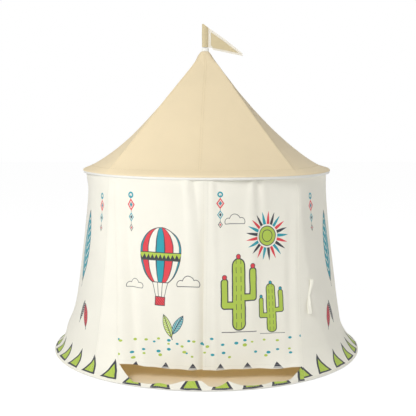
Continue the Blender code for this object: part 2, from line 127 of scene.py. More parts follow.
def hump(x, width):
    """1 where x is 0, and falling softly to nothing on both sides."""
    return np.exp(-((x / width) ** 2))


def turn_from(line, azimuth):
    """Degrees round from a line, between -180 and 180."""
    return (azimuth - line + 180) % 360 - 180


def grid_corners(rows, columns, ring=False):
    """The row, column and number of each quad's corners. A ring closes on itself."""
    row, column = np.meshgrid(np.arange(rows - 1), np.arange(columns - (not ring)), indexing="ij")
    row = np.stack([row, row, row + 1, row + 1], -1).reshape(-1, 4)
    column = np.stack([column, column + 1, column + 1, column], -1).reshape(-1, 4)
    return row, column, row * columns + column % columns


def grid_normals(points, ring=False):
    """Outward normals of a grid whose columns go right and whose rows go up."""
    if ring:
        padded = np.concatenate([points[:, -1:], points, points[:, :1]], axis=1)
        right = (padded[:, 2:] - padded[:, :-2]) / 2
    else:
        right = np.gradient(points, axis=1)
    normal = np.cross(right, np.gradient(points, axis=0))
    length = np.linalg.norm(normal, axis=2, keepdims=True)
    return normal / np.maximum(length, 1e-12)


SHARP_CORNER = math.radians(55)


def make_piece(name, points, faces, corner_uvs, material):
    """A mesh object, smooth but for its sharp corners, with its cloth's map in metres."""
    mesh = bpy.data.meshes.new(name)
    mesh.from_pydata(points.tolist(), [], faces)
    layer = mesh.uv_layers.new(name="cloth")
    layer.data.foreach_set("uv", np.asarray(corner_uvs, np.float32).ravel())
    mesh.polygons.foreach_set("use_smooth", np.ones(len(mesh.polygons), bool))
    mesh.set_sharp_from_angle(angle=SHARP_CORNER)
    mesh.materials.append(material)
    return new_object(name, mesh)


def cloth_shell(name, points, uvs, thickness, material, ring=False):
    """A closed sheet: points are its outer face, and uvs has one more column if it is a ring."""
    rows, columns = points.shape[:2]
    inner = points - grid_normals(points, ring) * thickness
    row, column, face = grid_corners(rows, columns, ring)
    offset = rows * columns
    faces = [face, face[:, ::-1] + offset]
    corner_uvs = [uvs[row, column], uvs[row, column][:, ::-1]]
    # The rims join the two layers along the open edges. Each runs from a row and column to a next.
    across, up = np.arange(columns - (not ring)), np.arange(rows - 1)
    rims = [(0, across + 1, 0, across), (rows - 1, across, rows - 1, across + 1)]
    if not ring:
        rims += [(up, 0, up + 1, 0), (up + 1, columns - 1, up, columns - 1)]
    for rim in rims:
        row_a, column_a, row_b, column_b = np.broadcast_arrays(*rim)
        a, b = row_a * columns + column_a % columns, row_b * columns + column_b % columns
        faces.append(np.stack([a, b, b + offset, a + offset], 1))
        start, end = uvs[row_a, column_a], uvs[row_b, column_b]
        corner_uvs.append(np.stack([start, end, end, start], 1))
    corners = np.concatenate([points.reshape(-1, 3), inner.reshape(-1, 3)])
    faces = np.concatenate(faces).tolist()
    return make_piece(name, corners, faces, np.concatenate(corner_uvs), material)


def dress(piece, slot, *nodes, body="root"):
    if nodes:
        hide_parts(*nodes)
    if body:
        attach(piece, body)


print("helpers ready")

# %% [markdown]
# ## A small language for materials
#
# A shader is arithmetic on the place being shaded. Nodes can be wired one by
# one, but formulas soon turn into a tangle. So one class wraps a socket and
# lets Python's own operators add the nodes, and one function adds any other node.


# %% Shader maths written as Python
class Value:
    """A socket in a material, number or vector, that Python's operators can work on."""

    def __init__(self, recipe, socket, vector=False):
        self.recipe, self.socket, self.vector = recipe, socket, vector

    def math(self, operation, *others, swapped=False, clamp=False):
        given = [self, *others]
        vector = any(isinstance(x, tuple) or getattr(x, "vector", False) for x in given)
        kind = "ShaderNodeVectorMath" if vector else "ShaderNodeMath"
        settings = {"operation": operation} | ({"use_clamp": True} if clamp else {})
        values = dict(enumerate(given[::-1] if swapped else given))
        number = not vector or operation in ("LENGTH", "DOT_PRODUCT")
        return self.recipe.value(kind, settings, values, "Value" if number else 0, not number)

    __add__ = partialmethod(math, "ADD")
    __sub__ = partialmethod(math, "SUBTRACT")
    __rsub__ = partialmethod(math, "SUBTRACT", swapped=True)
    __mul__ = partialmethod(math, "MULTIPLY")
    __truediv__ = partialmethod(math, "DIVIDE")
    __mod__ = partialmethod(math, "FLOORED_MODULO")
    __pow__ = partialmethod(math, "POWER")
    __neg__ = partialmethod(math, "MULTIPLY", -1.0)
    __abs__ = partialmethod(math, "ABSOLUTE")
    __or__ = partialmethod(math, "MINIMUM")  # two shapes together, as distances
    __and__ = partialmethod(math, "MAXIMUM")  # where two shapes overlap, as distances

    def part(self, axis):
        return self.recipe.value("ShaderNodeSeparateXYZ", {}, {0: self}, axis)

    def flat(self):
        """How far across a spot is, and how far up."""
        return self.part("X"), self.part("Y")


def make_node(tree, kind, settings, values):
    """A node in a tree. What goes in is a number, a colour, a material, a socket or a Value."""
    made = tree.nodes.new(kind)
    for key, setting in settings.items():
        setattr(made, key, setting)
    for key, value in values.items():
        socket = value.socket if isinstance(value, Value) else value
        if isinstance(socket, bpy.types.NodeSocket):
            tree.links.new(socket, made.inputs[key])
        else:
            made.inputs[key].default_value = socket
    return made


class Recipe:
    """A material being written."""

    def __init__(self, name):
        self.material = bpy.data.materials.new(name)
        self.material.use_nodes = True
        self.tree = self.material.node_tree
        self.tree.nodes.clear()

    def node(self, kind, settings, values):
        return make_node(self.tree, kind, settings, values)

    def value(self, kind, settings, values, output=0, vector=False):
        """One output of a new node, to go on calculating with."""
        return Value(self, self.node(kind, settings, values).outputs[output], vector)

    def coordinates(self, kind):
        return self.value("ShaderNodeTexCoord", {}, {}, kind, True)

    def noise(self, at, scale, detail, colour=False):
        values = {"Vector": at, "Scale": scale, "Detail": detail, "Roughness": 0.55}
        return self.value("ShaderNodeTexNoise", {}, values, "Color" if colour else "Fac", colour)

    def mix(self, share, first, second, blend="MIX"):
        """Colour first where share is 0, and second, or both blended, where it is 1."""
        settings = {"data_type": "RGBA", "blend_type": blend}
        values = {"Factor": share, 6: first, 7: second}
        return self.value("ShaderNodeMix", settings, values, 2, True)

    def finish(self, colour, roughness, height=None, bump=0.0005, **fixed):
        """Ends the tree in one Principled shader. height is relief from 0 to 1."""
        values = {"Base Color": colour, "Roughness": roughness}
        values |= {key.replace("_", " "): value for key, value in fixed.items()}
        if height is not None:
            values["Normal"] = self.node(
                "ShaderNodeBump", {}, {"Height": height, "Distance": bump}
            ).outputs[0]
        shader = self.node("ShaderNodeBsdfPrincipled", {}, values)
        self.node("ShaderNodeOutputMaterial", {}, {"Surface": shader.outputs[0]})
        return self.material


def dye(code):
    """A colour code, such as b8cf55, as the linear colour that a shader takes."""
    parts = [int(code[i : i + 2], 16) / 255 for i in (0, 2, 4)]
    linear = [c / 12.92 if c <= 0.04045 else ((c + 0.055) / 1.055) ** 2.4 for c in parts]
    return (*linear, 1.0)


# %% [markdown]
# ## Cloth
#
# The tent's cloth is a plain weave: warp and weft threads go over and under each
# other, half a millimetre apart. From a few metres the weave only softens the
# light, and from near it shows. The threads are drawn in the cloth's own map,
# in metres, so that they follow each panel. A slow noise adds the uneven dye
# and the slubs that keep a large pale sheet from looking like paint.

# %% Cloth finish
THREAD_PITCH = 0.0006
BINDING_PITCH = 0.0009
WEAVE_RELIEF = 0.00012
UNEVEN_DYE = 0.05
PAINTED_SHADE_MIDDLE = 0.86  # metres up, where the painted shade leaves a cloth its own colour


def weave_height(cloth_map, pitch):
    """Relief of a plain weave: each thread is round, and over and under take turns."""
    turns = cloth_map * (math.pi / pitch, math.pi / pitch, 0.0)
    across, along = turns.flat()
    warp, weft = abs(across.math("SINE")), abs(along.math("SINE"))
    over = (across.math("COSINE") * along.math("COSINE")).math("SIGN") * 0.25 + 0.5
    return warp * over + weft * (1.0 - over)


def finish_cloth(recipe, colour, roughness=0.82, pitch=THREAD_PITCH, fade=0.0):
    """Dye variation, slubs and weave over a colour, which may be painted already; fade paints shade
    by height.
    """
    cloth_map = recipe.coordinates("UV")
    place = recipe.coordinates("Object")
    slow = recipe.noise(place, 7.0, 4.0)
    slub = recipe.noise(cloth_map * (1.0, 12.0, 1.0), 90.0, 2.0)
    tone = (slow - 0.5) * (2 * UNEVEN_DYE) + (slub - 0.5) * UNEVEN_DYE + 1.0
    if fade:  # painted shade: a little darker higher up, lighter lower down
        tone = tone + (PAINTED_SHADE_MIDDLE - place.part("Z")) * fade
    grey = recipe.value("ShaderNodeCombineColor", {}, {0: tone, 1: tone, 2: tone}, 0, True)
    dyed = recipe.mix(1.0, colour, grey, "MULTIPLY")
    height = weave_height(cloth_map, pitch) + (slub - 0.5) * 0.6
    rough = (slow - 0.5) * 0.12 + roughness
    return recipe.finish(
        dyed, rough, height, WEAVE_RELIEF, Sheen_Weight=0.12, Sheen_Roughness=0.5
    )


IVORY = dye("f6f3e6")
# The roof's cloth gets painted shade: darker towards the peak, lighter towards the eaves.
tan_cloth = finish_cloth(Recipe("tan_cloth"), dye("f1dfba"), fade=0.22)
floor_cloth = finish_cloth(Recipe("floor_cloth"), dye("ebdabc"), 0.7)
# Painted shade: the flag is the roof's tan cloth, and its darker colour here stands in for the
# shade it hangs in.
shaded_flag_cloth = finish_cloth(Recipe("shaded_flag_cloth"), dye("d3c49e"))
flag_binding = finish_cloth(Recipe("flag_binding"), dye("ebe6d9"), 0.75, BINDING_PITCH)
white_binding = finish_cloth(Recipe("white_binding"), dye("f3f2ec"), 0.75, BINDING_PITCH)
cream_ribbon = finish_cloth(Recipe("cream_ribbon"), dye("fbf8ea"), 0.6, 0.0008)
print("cloth finishes:", len(bpy.data.materials))

# %% [markdown]
# ## The printed cloth
#
# The pale cloth is printed with bright shapes in four inks. A picture could be
# wrapped on it, but this tent uses none: each shape is a distance, worked out
# from the cloth's map, and an ink covers the cloth where its distance is below
# zero. Two distances joined with | make one shape, and an outline is the strip
# just inside the edge. The shapes here are plain ones: a balloon, a sun, some
# cacti, leaves, clouds, strings of diamonds, dots and triangles.

# %% Inks and simple shapes
TEAL = dye("2f9fae")
LIME = dye("b4cc52")
RED = dye("e2464f")
CHARCOAL = dye("3b3d45")
GREY = dye("b9b8b4")
STREAK = dye("9fb944")
INK_EDGE = 0.0010  # an ink's edge bleeds this far into the cloth
OUTLINE = 0.0042


class PrintRecipe(Recipe):
    """A recipe that can lay ink on cloth."""

    def start(self, base, wobble=0.0035):
        """The cloth's map, a little unsteady as if drawn by hand, and the bare colour."""
        flat = self.coordinates("UV")
        shake = self.noise(flat, 26.0, 1.0, colour=True) - (0.5, 0.5, 0.5)
        self.map = flat + shake * (wobble, wobble, 0.0)
        self.colour = base

    def at(self, x, y, turn=0.0, size=1.0):
        """The map as seen from a shape's own middle, turned and sized with it."""
        values = {
            "Vector": self.map,
            "Location": (x, y, 0.0),
            "Rotation": (0.0, 0.0, math.radians(turn)),
            "Scale": (size, size, 1.0),
        }
        return self.value("ShaderNodeMapping", {"vector_type": "TEXTURE"}, values, 0, True)

    def cover(self, distance):
        """1 where ink covers the cloth, and 0 where it doesn't reach."""
        return (distance * (-1 / INK_EDGE)).math("ADD", 0.5, clamp=True)

    def ink(self, distance, colour, within=None):
        """Covers the cloth with ink where distance is below zero, and within also."""
        share = self.cover(distance)
        if within is not None:
            share = share * self.cover(within)
        self.colour = self.mix(share, self.colour, colour)

    def outlined(self, distance, fill, line=OUTLINE):
        self.ink(distance, CHARCOAL)
        self.ink(distance + line, fill)

    def three_inks(self, distance, number, inks):
        """Inks a shape whose parts are numbered: number modulo 3 picks the ink."""
        turn = number % 3.0
        colour = self.mix(turn.math("GREATER_THAN", 0.5), inks[0], inks[1])
        colour = self.mix(turn.math("GREATER_THAN", 1.5), colour, inks[2])
        self.ink(distance, colour)


def disc(spot, radius):
    return spot.math("LENGTH") - radius


def bar(spot, start, end, radius):
    """A straight stroke with round ends."""
    run = (end[0] - start[0], end[1] - start[1], 0.0)
    squared = run[0] ** 2 + run[1] ** 2
    from_start = spot - (*start, 0.0)
    along = from_start.math("DOT_PRODUCT", tuple(step / squared for step in run))
    along = along.math("MAXIMUM", 0.0).math("MINIMUM", 1.0)
    values = {0: run, "Scale": along}
    nearest = spot.recipe.value("ShaderNodeVectorMath", {"operation": "SCALE"}, values, 0, True)
    return disc(from_start - nearest, radius)


def box(x, y, half_width, half_height):
    return (abs(x) - half_width) & (abs(y) - half_height)


def between(value, low, high):
    """Below zero between two numbers."""
    return abs(value - (low + high) / 2) - (high - low) / 2


# %% The larger pictures
def print_balloon(recipe, x, y):
    """A striped envelope, longer below than above, with a basket on four ropes."""
    spot = recipe.at(x, y)
    across, up = spot.flat()
    radius, drop_length, mouth = 0.080, 0.122, -0.112
    tall = up.math("MAXIMUM", 0.0) / radius + (-up).math("MAXIMUM", 0.0) / drop_length
    wide = across / radius
    round_edge = ((wide * wide + tall * tall) ** 0.5 - 1.0) * radius
    envelope = round_edge & (mouth - up)
    half = (1.0 - tall * tall).math("MAXIMUM", 0.0004) ** 0.5
    bulge = (wide / half).math("MAXIMUM", -1.0).math("MINIMUM", 1.0).math("ARCSINE")
    gore = bulge * (7 / math.pi) + 3.5
    recipe.ink(envelope, CHARCOAL)
    recipe.three_inks(envelope + 0.0026, gore.math("FLOOR"), (TEAL, RED, IVORY))
    recipe.ink(abs((gore % 1.0) - 0.5) * -0.02 + 0.0088, CHARCOAL, envelope)
    band = between(up, -0.036, -0.006)
    recipe.ink(band, CHARCOAL, envelope)
    recipe.ink(band + 0.003, LIME, envelope)
    saw = abs((across % 0.016) - 0.008) * 1.9 - 0.0286
    recipe.ink((up - saw) & (-0.033 - up), CHARCOAL, envelope)
    for rope in (-1, -0.35, 0.35, 1):
        recipe.ink(bar(spot, (rope * 0.030, mouth), (rope * 0.017, -0.160), 0.0011), CHARCOAL)
    basket = box(across, up + 0.176, 0.020, 0.016)
    recipe.outlined(basket, RED, 0.0026)
    wicker = abs(((across + up) % 0.010) - 0.005) - 0.0009
    recipe.ink(wicker, CHARCOAL, basket)


def print_sun(recipe, x, y, rays=21):
    """A disc with pointed rays in three inks."""
    spot = recipe.at(x, y)
    away = spot.math("LENGTH")
    angle = spot.part("Y").math("ARCTAN2", spot.part("X")) * (rays / (2 * math.pi)) + rays / 2
    point = 1.0 - abs((angle % 1.0) * 2.0 - 1.0)
    ray = (away - (point * 0.052 + 0.034)) & (0.041 - away)
    recipe.three_inks(ray, angle.math("FLOOR"), (RED, TEAL, CHARCOAL))
    recipe.outlined(away - 0.035, LIME, 0.0030)
    recipe.ink(abs(away - 0.020) - 0.0013, CHARCOAL)


def print_cactus(recipe, x, y, size, flower=RED):
    """A trunk with two bent arms, ribs and a flower on each tip."""
    spot = recipe.at(x, y, size=size)
    arm_out, arm_radius = 0.050, 0.0135
    body = bar(spot, (0, 0.015), (0, 0.205), 0.024)
    for side, low, high in ((-1, 0.075, 0.150), (1, 0.100, 0.185)):
        elbow = (side * arm_out, low)
        body = body | bar(spot, (0, low), elbow, arm_radius)
        body = body | bar(spot, elbow, (side * arm_out, high), arm_radius)
    recipe.outlined(body, LIME)
    across, up = spot.flat()
    ribs = abs(abs(across) - 0.0085) - 0.0009
    dashes = ((up % 0.030) - 0.019) & (abs(across) - 0.012)
    recipe.ink(ribs & dashes, CHARCOAL, body)
    for tip in ((0, 0.233), (-arm_out, 0.167), (arm_out, 0.202)):
        recipe.outlined(disc(spot - (*tip, 0.0), 0.0088), flower, 0.0022)
    recipe.ink(between(up, -0.014, -0.0115) & (abs(across) - 0.060), CHARCOAL)


def print_leaf(recipe, x, y, turn, long, wide, fill, vein=IVORY):
    """A pointed leaf with a midrib and slanting veins."""
    spot = recipe.at(x, y, turn)
    across, up = spot.flat()
    reach = (long**2 - wide**2) / (2 * wide)
    aside = (reach, 0.0, 0.0)
    edge = disc(spot - aside, reach + wide) & disc(spot + aside, reach + wide)
    recipe.outlined(edge, fill, 0.0040 * min(1, wide / 0.03))
    slanted = ((up - abs(across) * 0.9) % (long / 5)) - long / 10
    recipe.ink(abs(slanted) - long / 46, vein, edge + wide * 0.16)
    recipe.ink(abs(across) - 0.0014, CHARCOAL, edge)
    recipe.ink(bar(spot, (0, -long * 1.12), (0, -long * 0.9), 0.0016), CHARCOAL)


# %% Small motifs
DIAMONDS = (  # height of the middle, half the height, and two inks
    (-0.034, 0.022, RED, TEAL),
    (-0.078, 0.017, TEAL, CHARCOAL),
    (-0.115, 0.013, CHARCOAL, RED),
)


def print_diamonds(recipe, x, y, size=1.0):
    """A ring with three diamonds hung under it on a thread."""
    spot = recipe.at(x, y, size=size)
    across, up = spot.flat()
    recipe.ink(abs(across) - 0.0009, CHARCOAL, between(up, -0.128, 0.0))
    recipe.ink(abs(disc(spot, 0.0085)) - 0.0030, TEAL)
    for middle, half, outside, inside in DIAMONDS:
        diamond = (abs(across) * 1.35 + abs(up - middle) - half) * 0.62
        recipe.ink(diamond, outside)
        recipe.ink(abs(diamond + half * 0.28) - 0.0012, IVORY)
        recipe.ink(diamond + half * 0.38, inside)


def print_cloud(recipe, x, y, size=1.0):
    """Three discs in a row over a flat foot, drawn as an outline only."""
    spot = recipe.at(x, y, size=size)
    puffs = disc(spot, 0.021) | disc(spot - (0.024, -0.006, 0.0), 0.015)
    puffs = puffs | disc(spot + (0.025, 0.007, 0.0), 0.014)
    cloud = puffs & (-0.015 - spot.part("Y"))
    recipe.ink(abs(cloud + 0.0012) - 0.0011, CHARCOAL)


def print_dots(recipe, low, high, cell, ink, start):
    """Ovals scattered in a band, one at most in each cell, of uneven size."""
    scaled = (recipe.map + (start, start, 0.0)) * (1 / cell, 1 / cell, 0.0)
    corner = scaled.math("FLOOR")
    lot = corner + (start * 1000, start * 3000, 0.0)
    chance = recipe.node("ShaderNodeTexWhiteNoise", {"noise_dimensions": "2D"}, {"Vector": lot})
    shift = Value(recipe, chance.outputs["Color"], True)
    luck = Value(recipe, chance.outputs["Value"])
    inside = scaled - corner - (0.20, 0.16, 0.0) - shift * (0.60, 0.68, 0.0)
    size = luck * 0.10 + 0.115
    oval = ((inside * (1.0, 1.5, 0.0)).math("LENGTH") - size) * cell
    height = corner.part("Y") * cell
    recipe.ink(oval & between(height, low, high) & (luck - 0.80), ink)


# %% Rows along the foot
BORDER_COUNT = 36
BORDER_PITCH = math.pi / BORDER_COUNT  # the map is drawn at a radius of half a metre
BORDER_HALF, BORDER_TALL = 0.031, 0.078
BORDER_FOOT = 0.0005


def print_border(recipe):
    """Lime triangles with a dark outline in a row along the foot of the cloth."""
    across = (recipe.map.part("X") % BORDER_PITCH) - BORDER_PITCH / 2
    up = recipe.map.part("Y") - BORDER_FOOT
    slope = math.hypot(BORDER_TALL, BORDER_HALF)
    slanted = (abs(across) * BORDER_TALL + (up - BORDER_TALL) * BORDER_HALF) / slope
    recipe.ink(slanted & -up, CHARCOAL)
    fill = (slanted + 0.0072) & (0.0064 - up)
    recipe.ink(fill, LIME)
    streak = abs(((across + up * 0.7) % 0.017) - 0.0085) - 0.0008
    recipe.ink(streak, STREAK, fill + 0.002)


def print_hem_row(recipe, pitch, hem):
    """Small dark triangles on pale feet, just over a hem."""
    across = (recipe.map.part("X") % pitch) - pitch / 2
    up = recipe.map.part("Y") - hem
    slanted = abs(across) * 0.8 + (up - 0.021) * 0.6
    recipe.ink(slanted & -up, GREY)
    recipe.ink(slanted & (0.0060 - up), CHARCOAL)


# %% The wall's print, the same on both sides of the doorway
recipe = PrintRecipe("printed_wall_cloth")
recipe.start(IVORY, 0.0060)
print_border(recipe)
all_round = math.pi  # the map's length round the tent
repeat = all_round / 8
across, up = recipe.map.flat()
from_front = abs(((across + all_round / 2) % all_round) - all_round / 2)
folded = {"X": from_front % repeat, "Y": up, "Z": 0.0}
recipe.map = recipe.value("ShaderNodeCombineXYZ", {}, folded, 0, True)
print_leaf(recipe, 0.205, 0.440, 4, 0.140, 0.044, TEAL)
print_diamonds(recipe, 0.060, 0.640)
print_leaf(recipe, 0.115, 0.195, -24, 0.046, 0.016, RED, CHARCOAL)
print_leaf(recipe, 0.150, 0.205, 14, 0.042, 0.012, CHARCOAL)
print_diamonds(recipe, 0.335, 0.600, 0.8)
printed_wall = finish_cloth(recipe, recipe.colour)
print("wall print:", len(recipe.tree.nodes), "nodes")

# %% The curtains' print
CURTAIN_PRINT = (
    (print_balloon, -0.172, 0.452),
    (print_cloud, -0.066, 0.345, 1.1),
    (print_cloud, -0.272, 0.330, 0.9),
    (print_cloud, 0.105, 0.560),
    (print_diamonds, -0.296, 0.640),
    (print_diamonds, 0.050, 0.648, 0.9),
    (print_sun, 0.232, 0.500),
    (print_cactus, 0.118, 0.185, 1.06),
    (print_cactus, 0.238, 0.170, 0.72, TEAL),
    (print_leaf, -0.105, 0.195, -32, 0.040, 0.014, TEAL),
    (print_leaf, -0.142, 0.190, 22, 0.044, 0.015, LIME),
    (print_dots, 0.065, 0.150, 0.040, TEAL, 0.0),
    (print_dots, 0.085, 0.170, 0.043, LIME, 0.017),
    (print_hem_row, 0.098, 0.0425),
)

recipe = PrintRecipe("printed_curtain_cloth")
recipe.start(IVORY)
for shape, *where in CURTAIN_PRINT:
    shape(recipe, *where)
printed_curtain = finish_cloth(recipe, recipe.colour)
print("curtain print:", len(recipe.tree.nodes), "nodes")

# %% [markdown]
# ## The roof
#
# Eight gores meet at the peak. Straight poles hold four of the seams out, and
# between the poles the cloth pulls in, so each side is a saddle. It could be
# eight flat triangles, but then the light would not roll over it. One ring of
# columns is used, closer together at the seams, with the same rule for the
# radius as the frame has.

# %% The two hoops' channels
EAVES_HOOP = (0.4728, 0.7056)
BASE_HOOP = (0.5928, 0.0073)
EAVES_CHANNEL = (0.0080, 0.0066)  # half its width and half its height
BASE_CHANNEL = (0.0071, 0.0071)
CLOTH = 0.0009
SHELL_GAP = 0.0004  # a sheet's outer face stands this far off its own rule
WALL_SLOT = "ivory_cloth"
ROOF_SLOT = "tan_cloth"
BINDING_SLOT = "white_binding"


def eaves_sag(azimuth):
    """How far the underside of the upper channel hangs off its hoop, most at the right."""
    turn = np.radians(azimuth)
    return -0.0030 - 0.0022 * np.sin(turn) + 0.0004 * np.sin(5 * turn + 1.0)


def on_channel(hoop, section, azimuth, angle, lift=0.0):
    """A place on a channel's outside: an angle of 0 is outwards and 90 is up."""
    turn = np.radians(angle)
    slack = 1 - 0.9 * np.clip(np.sin(turn), 0, 1)
    sag = eaves_sag(azimuth) * slack if hoop is EAVES_HOOP else 0.0
    # The sewn lower half is squarer than a circle, so that the strip's face stands upright.
    squarer = np.where((hoop is EAVES_HOOP) & (np.sin(turn) < 0), 0.5, 1.0)
    bulge = np.sign(np.cos(turn)) * np.abs(np.cos(turn)) ** squarer
    radius = hoop[0] + (section[0] + lift) * bulge
    return around(radius, azimuth, hoop[1] + sag + (section[1] + lift) * np.sin(turn))


# %% The rule for the roof's surface
ROOF_EDGE = (0.46931, 0.71304)
PEAK = (0.0175, 1.158)
ROOF_DRAW = 0.31
ROOF_DRAW_POWER = 0.5
ROOF_ROUND = 0.9
FRAME_TURN = -3.2  # the poles stand a little round from the doorway's middle
GORES = 8
GORE = 360 / GORES
ROOF_ROWS = 84
ROOF_LAP = (19, 32, 47, 63)  # angles at which the roof lies on the channel
SEAM_STEPS = (0, 0.35, 0.7, 1.05, 1.5, 2.3, 3.6, 5.4, 7.6, 10.2, 13.2, 16.4, 19.5)
PRINT_RADIUS = 0.5  # a degree of azimuth is this radius times its angle on the cloth's map


def map_at(azimuth, up, radius=PRINT_RADIUS):
    """The cloth's map in metres, from an azimuth and a length up the cloth."""
    return np.stack(np.broadcast_arrays(np.radians(azimuth) * radius, up), axis=-1)


def ring_map(azimuth, up, radius):
    """The map of a ring, whose last column is its first one again, a turn later."""
    return map_at(np.append(azimuth, azimuth[0] + 360)[None, :], up[:, None], radius)


def length_along(across, up):
    """Lengths along a line of points, from its first one."""
    return np.concatenate([[0], np.cumsum(np.hypot(np.diff(across), np.diff(up)))])


def seam_columns():
    """Azimuths round the ring, closer together at each seam."""
    half = np.array(SEAM_STEPS)
    one = np.concatenate([half, [GORE / 2], GORE - half[:0:-1]])
    return np.concatenate([one + GORE * i for i in range(GORES)])


def roof_radius(azimuth, share):
    """The saddle between the poles: share is 0 at the eaves and 1 at the peak."""
    ridge = ROOF_EDGE[0] + (PEAK[0] - ROOF_EDGE[0]) * share
    off = np.radians((azimuth - FRAME_TURN + 45) % 90 - 45)
    flat = math.cos(math.pi / 4)
    fade = np.minimum(1, (1 - share) / (1 - ROOF_ROUND))
    draw = fade * ROOF_DRAW * share**ROOF_DRAW_POWER / (1 - flat)
    return ridge * (1 - draw + draw * (flat / np.cos(off)))


def roof_surface(azimuth, share):
    """The outer face of the roof, with its seams, puckers and slack."""
    height = ROOF_EDGE[1] + (PEAK[1] - ROOF_EDGE[1]) * share
    radius = roof_radius(azimuth, share)
    aside = np.abs((azimuth - FRAME_TURN + GORE / 2) % GORE - GORE / 2)
    from_seam = radius * np.radians(aside)
    at_top = ease((share - 0.90) / 0.10)
    # Small relief: the felled seam with its groove, puckers beside it, slack between the seams,
    # and gathers over the hoop.
    fell = 0.0004 * ease((0.0075 - from_seam) / 0.003) - 0.0003 * hump(from_seam, 0.0012)
    spots = around(radius, azimuth, height)
    pucker = 0.0006 * np.exp(-from_seam / 0.02) * wander(spots, 0.030, 11)
    slack = 0.0018 * wander(spots, 0.24, 12) * ease(from_seam / 0.08) * ease((1 - share) / 0.2)
    gather = 0.0009 * np.exp(-share / 0.035) * wander(spots * (1, 1, 0.15), 0.034, 13)
    held = ease(share / 0.03)
    # The roof flares over the eaves, most at the left, and draws in under the collar.
    flare = (0.0075 - 0.0050 * np.sin(np.radians(azimuth))) * np.exp(-share / 0.14)
    flare = flare + 0.0020 * np.exp(-share / 0.03) - 0.0020 * at_top
    flare = flare - 0.0030 * hump(share - 0.945, 0.028)
    lean = -0.0035 * np.sin(math.pi * share) - 0.0060 * ease((share - 0.86) / 0.12)
    sag = 0.3 * eaves_sag(azimuth) * np.exp(-share / 0.05)
    spots = around(
        radius + 0.0006 + flare + (fell + pucker + slack + gather) * held,
        azimuth,
        height + sag + 0.003 * at_top,
    )
    return spots + np.stack([lean, 0 * lean, 0 * lean], axis=-1)


print("roof radius half way up:", round(float(roof_radius(0.0, 0.5)), 4))

# %% The roof cloth
roof_azimuths = seam_columns() + FRAME_TURN
roof_shares = np.linspace(0.13, 1, ROOF_ROWS) ** 1.8
grid_azimuth, grid_share = np.meshgrid(roof_azimuths, roof_shares)
lap_azimuth, lap_angle = np.meshgrid(roof_azimuths, ROOF_LAP)

# Above the last row a shoulder of three rows turns in to the collar and rises a little.
SHOULDER_IN = np.array([0.10, 0.20, 0.30])
SHOULDER_RISE = np.array([0.0009, 0.0013, 0.0014])
shoulder = roof_surface(grid_azimuth[-3:], np.ones((3, 1)))
middle = shoulder.mean(axis=1, keepdims=True)
shoulder = shoulder + (middle - shoulder) * SHOULDER_IN[:, None, None]
shoulder[..., 2] += SHOULDER_RISE[:, None]
roof_points = np.concatenate([
    on_channel(EAVES_HOOP, EAVES_CHANNEL, lap_azimuth, lap_angle, 0.0016),
    roof_surface(grid_azimuth, grid_share),
    shoulder,
])
slant = math.hypot(ROOF_EDGE[0] - PEAK[0], PEAK[1] - ROOF_EDGE[1])
lap_up = (np.array(ROOF_LAP) - 76) * 0.00015
shoulder_up = slant + np.array([0.002, 0.004, 0.006])
roof_up = np.concatenate([lap_up, roof_shares * slant, shoulder_up])
roof_uvs = ring_map(roof_azimuths, roof_up, PRINT_RADIUS * 0.6)
roof_cloth = cloth_shell("roof_cloth", roof_points, roof_uvs, CLOTH, tan_cloth, True)
dress(roof_cloth, ROOF_SLOT, *[f"roof_gore_{i + 1}" for i in range(GORES)])
print("roof:", len(roof_cloth.data.polygons), "faces")

# %% [markdown]
# ## The wall and the doorway
#
# The wall hangs almost straight from the upper hoop and then flares to the lower
# one. The doorway is cut between two jambs that keep nearly the same distance
# apart all the way down, so measured in degrees they close in as the wall
# widens. Columns are stretched between leaning lines, one for each seam, crease
# and jamb, so that every line of sewing has mesh edges exactly under it.

# %% Lines on the wall
WALL_TOP = (0.46606, 0.70089)
WALL_FOOT = (0.58868, 0.01433)
SKIRT = (0.5345, 0.105)
WALL_FLARE_POWER = 1.5
SKIRT_SLOPE = 0.172  # metres out for each metre down, where the skirt begins
JAMB_HALF = 0.316
SKIRT_KICK = (2.3, 0.45)  # how late the skirt turns out, and how much later at the left
OVER_CHANNEL = (0.0080, 0.016)  # how far the channel lifts the foot, and how soon that fades


def wall_radius(height, azimuth=0.0):
    """The wall's profile. It follows the frame's, but its skirt stays in for longer."""
    upper = np.clip((WALL_TOP[1] - height) / (WALL_TOP[1] - SKIRT[1]), 0, 1)
    lower = np.clip((SKIRT[1] - height) / (SKIRT[1] - WALL_FOOT[1]), 0, 1)
    above = WALL_TOP[0] + (SKIRT[0] - WALL_TOP[0]) * upper**WALL_FLARE_POWER
    steady = SKIRT_SLOPE * (SKIRT[1] - WALL_FOOT[1])
    kick = SKIRT_KICK[0] - SKIRT_KICK[1] * np.sin(np.radians(azimuth))
    below = SKIRT[0] + steady * lower + (WALL_FOOT[0] - SKIRT[0] - steady) * lower**kick
    lifted = OVER_CHANNEL[0] * np.exp(-(height - WALL_FOOT[1]) / OVER_CHANNEL[1])
    return np.where(height > SKIRT[1], above, below) + lifted


def drop(height):
    """0 at the top of the wall and 1 at its foot."""
    return np.clip((WALL_TOP[1] - height) / (WALL_TOP[1] - WALL_FOOT[1]), 0, 1)


def jamb_azimuth(side, height):
    """The doorway's edge: side is -1 for the left and 1 for the right."""
    aside = JAMB_HALF + (0.020 if side > 0 else -0.014) * drop(height) ** 2
    return side * np.degrees(np.arcsin(aside / wall_radius(height)))


def right_crease(height):
    return 43.5 + 11.5 * drop(height) ** 2.4


def left_seam(height):
    return 313.6 + 2.0 * drop(height)


# %% The rule for the wall's surface
def crest(azimuth, line, width):
    """A ridge with a soft top along a line, and straight shoulders either side."""
    away = np.abs(turn_from(line, azimuth))
    return np.exp(-(np.sqrt(away**2 + 1.2**2) - 1.2) / width)


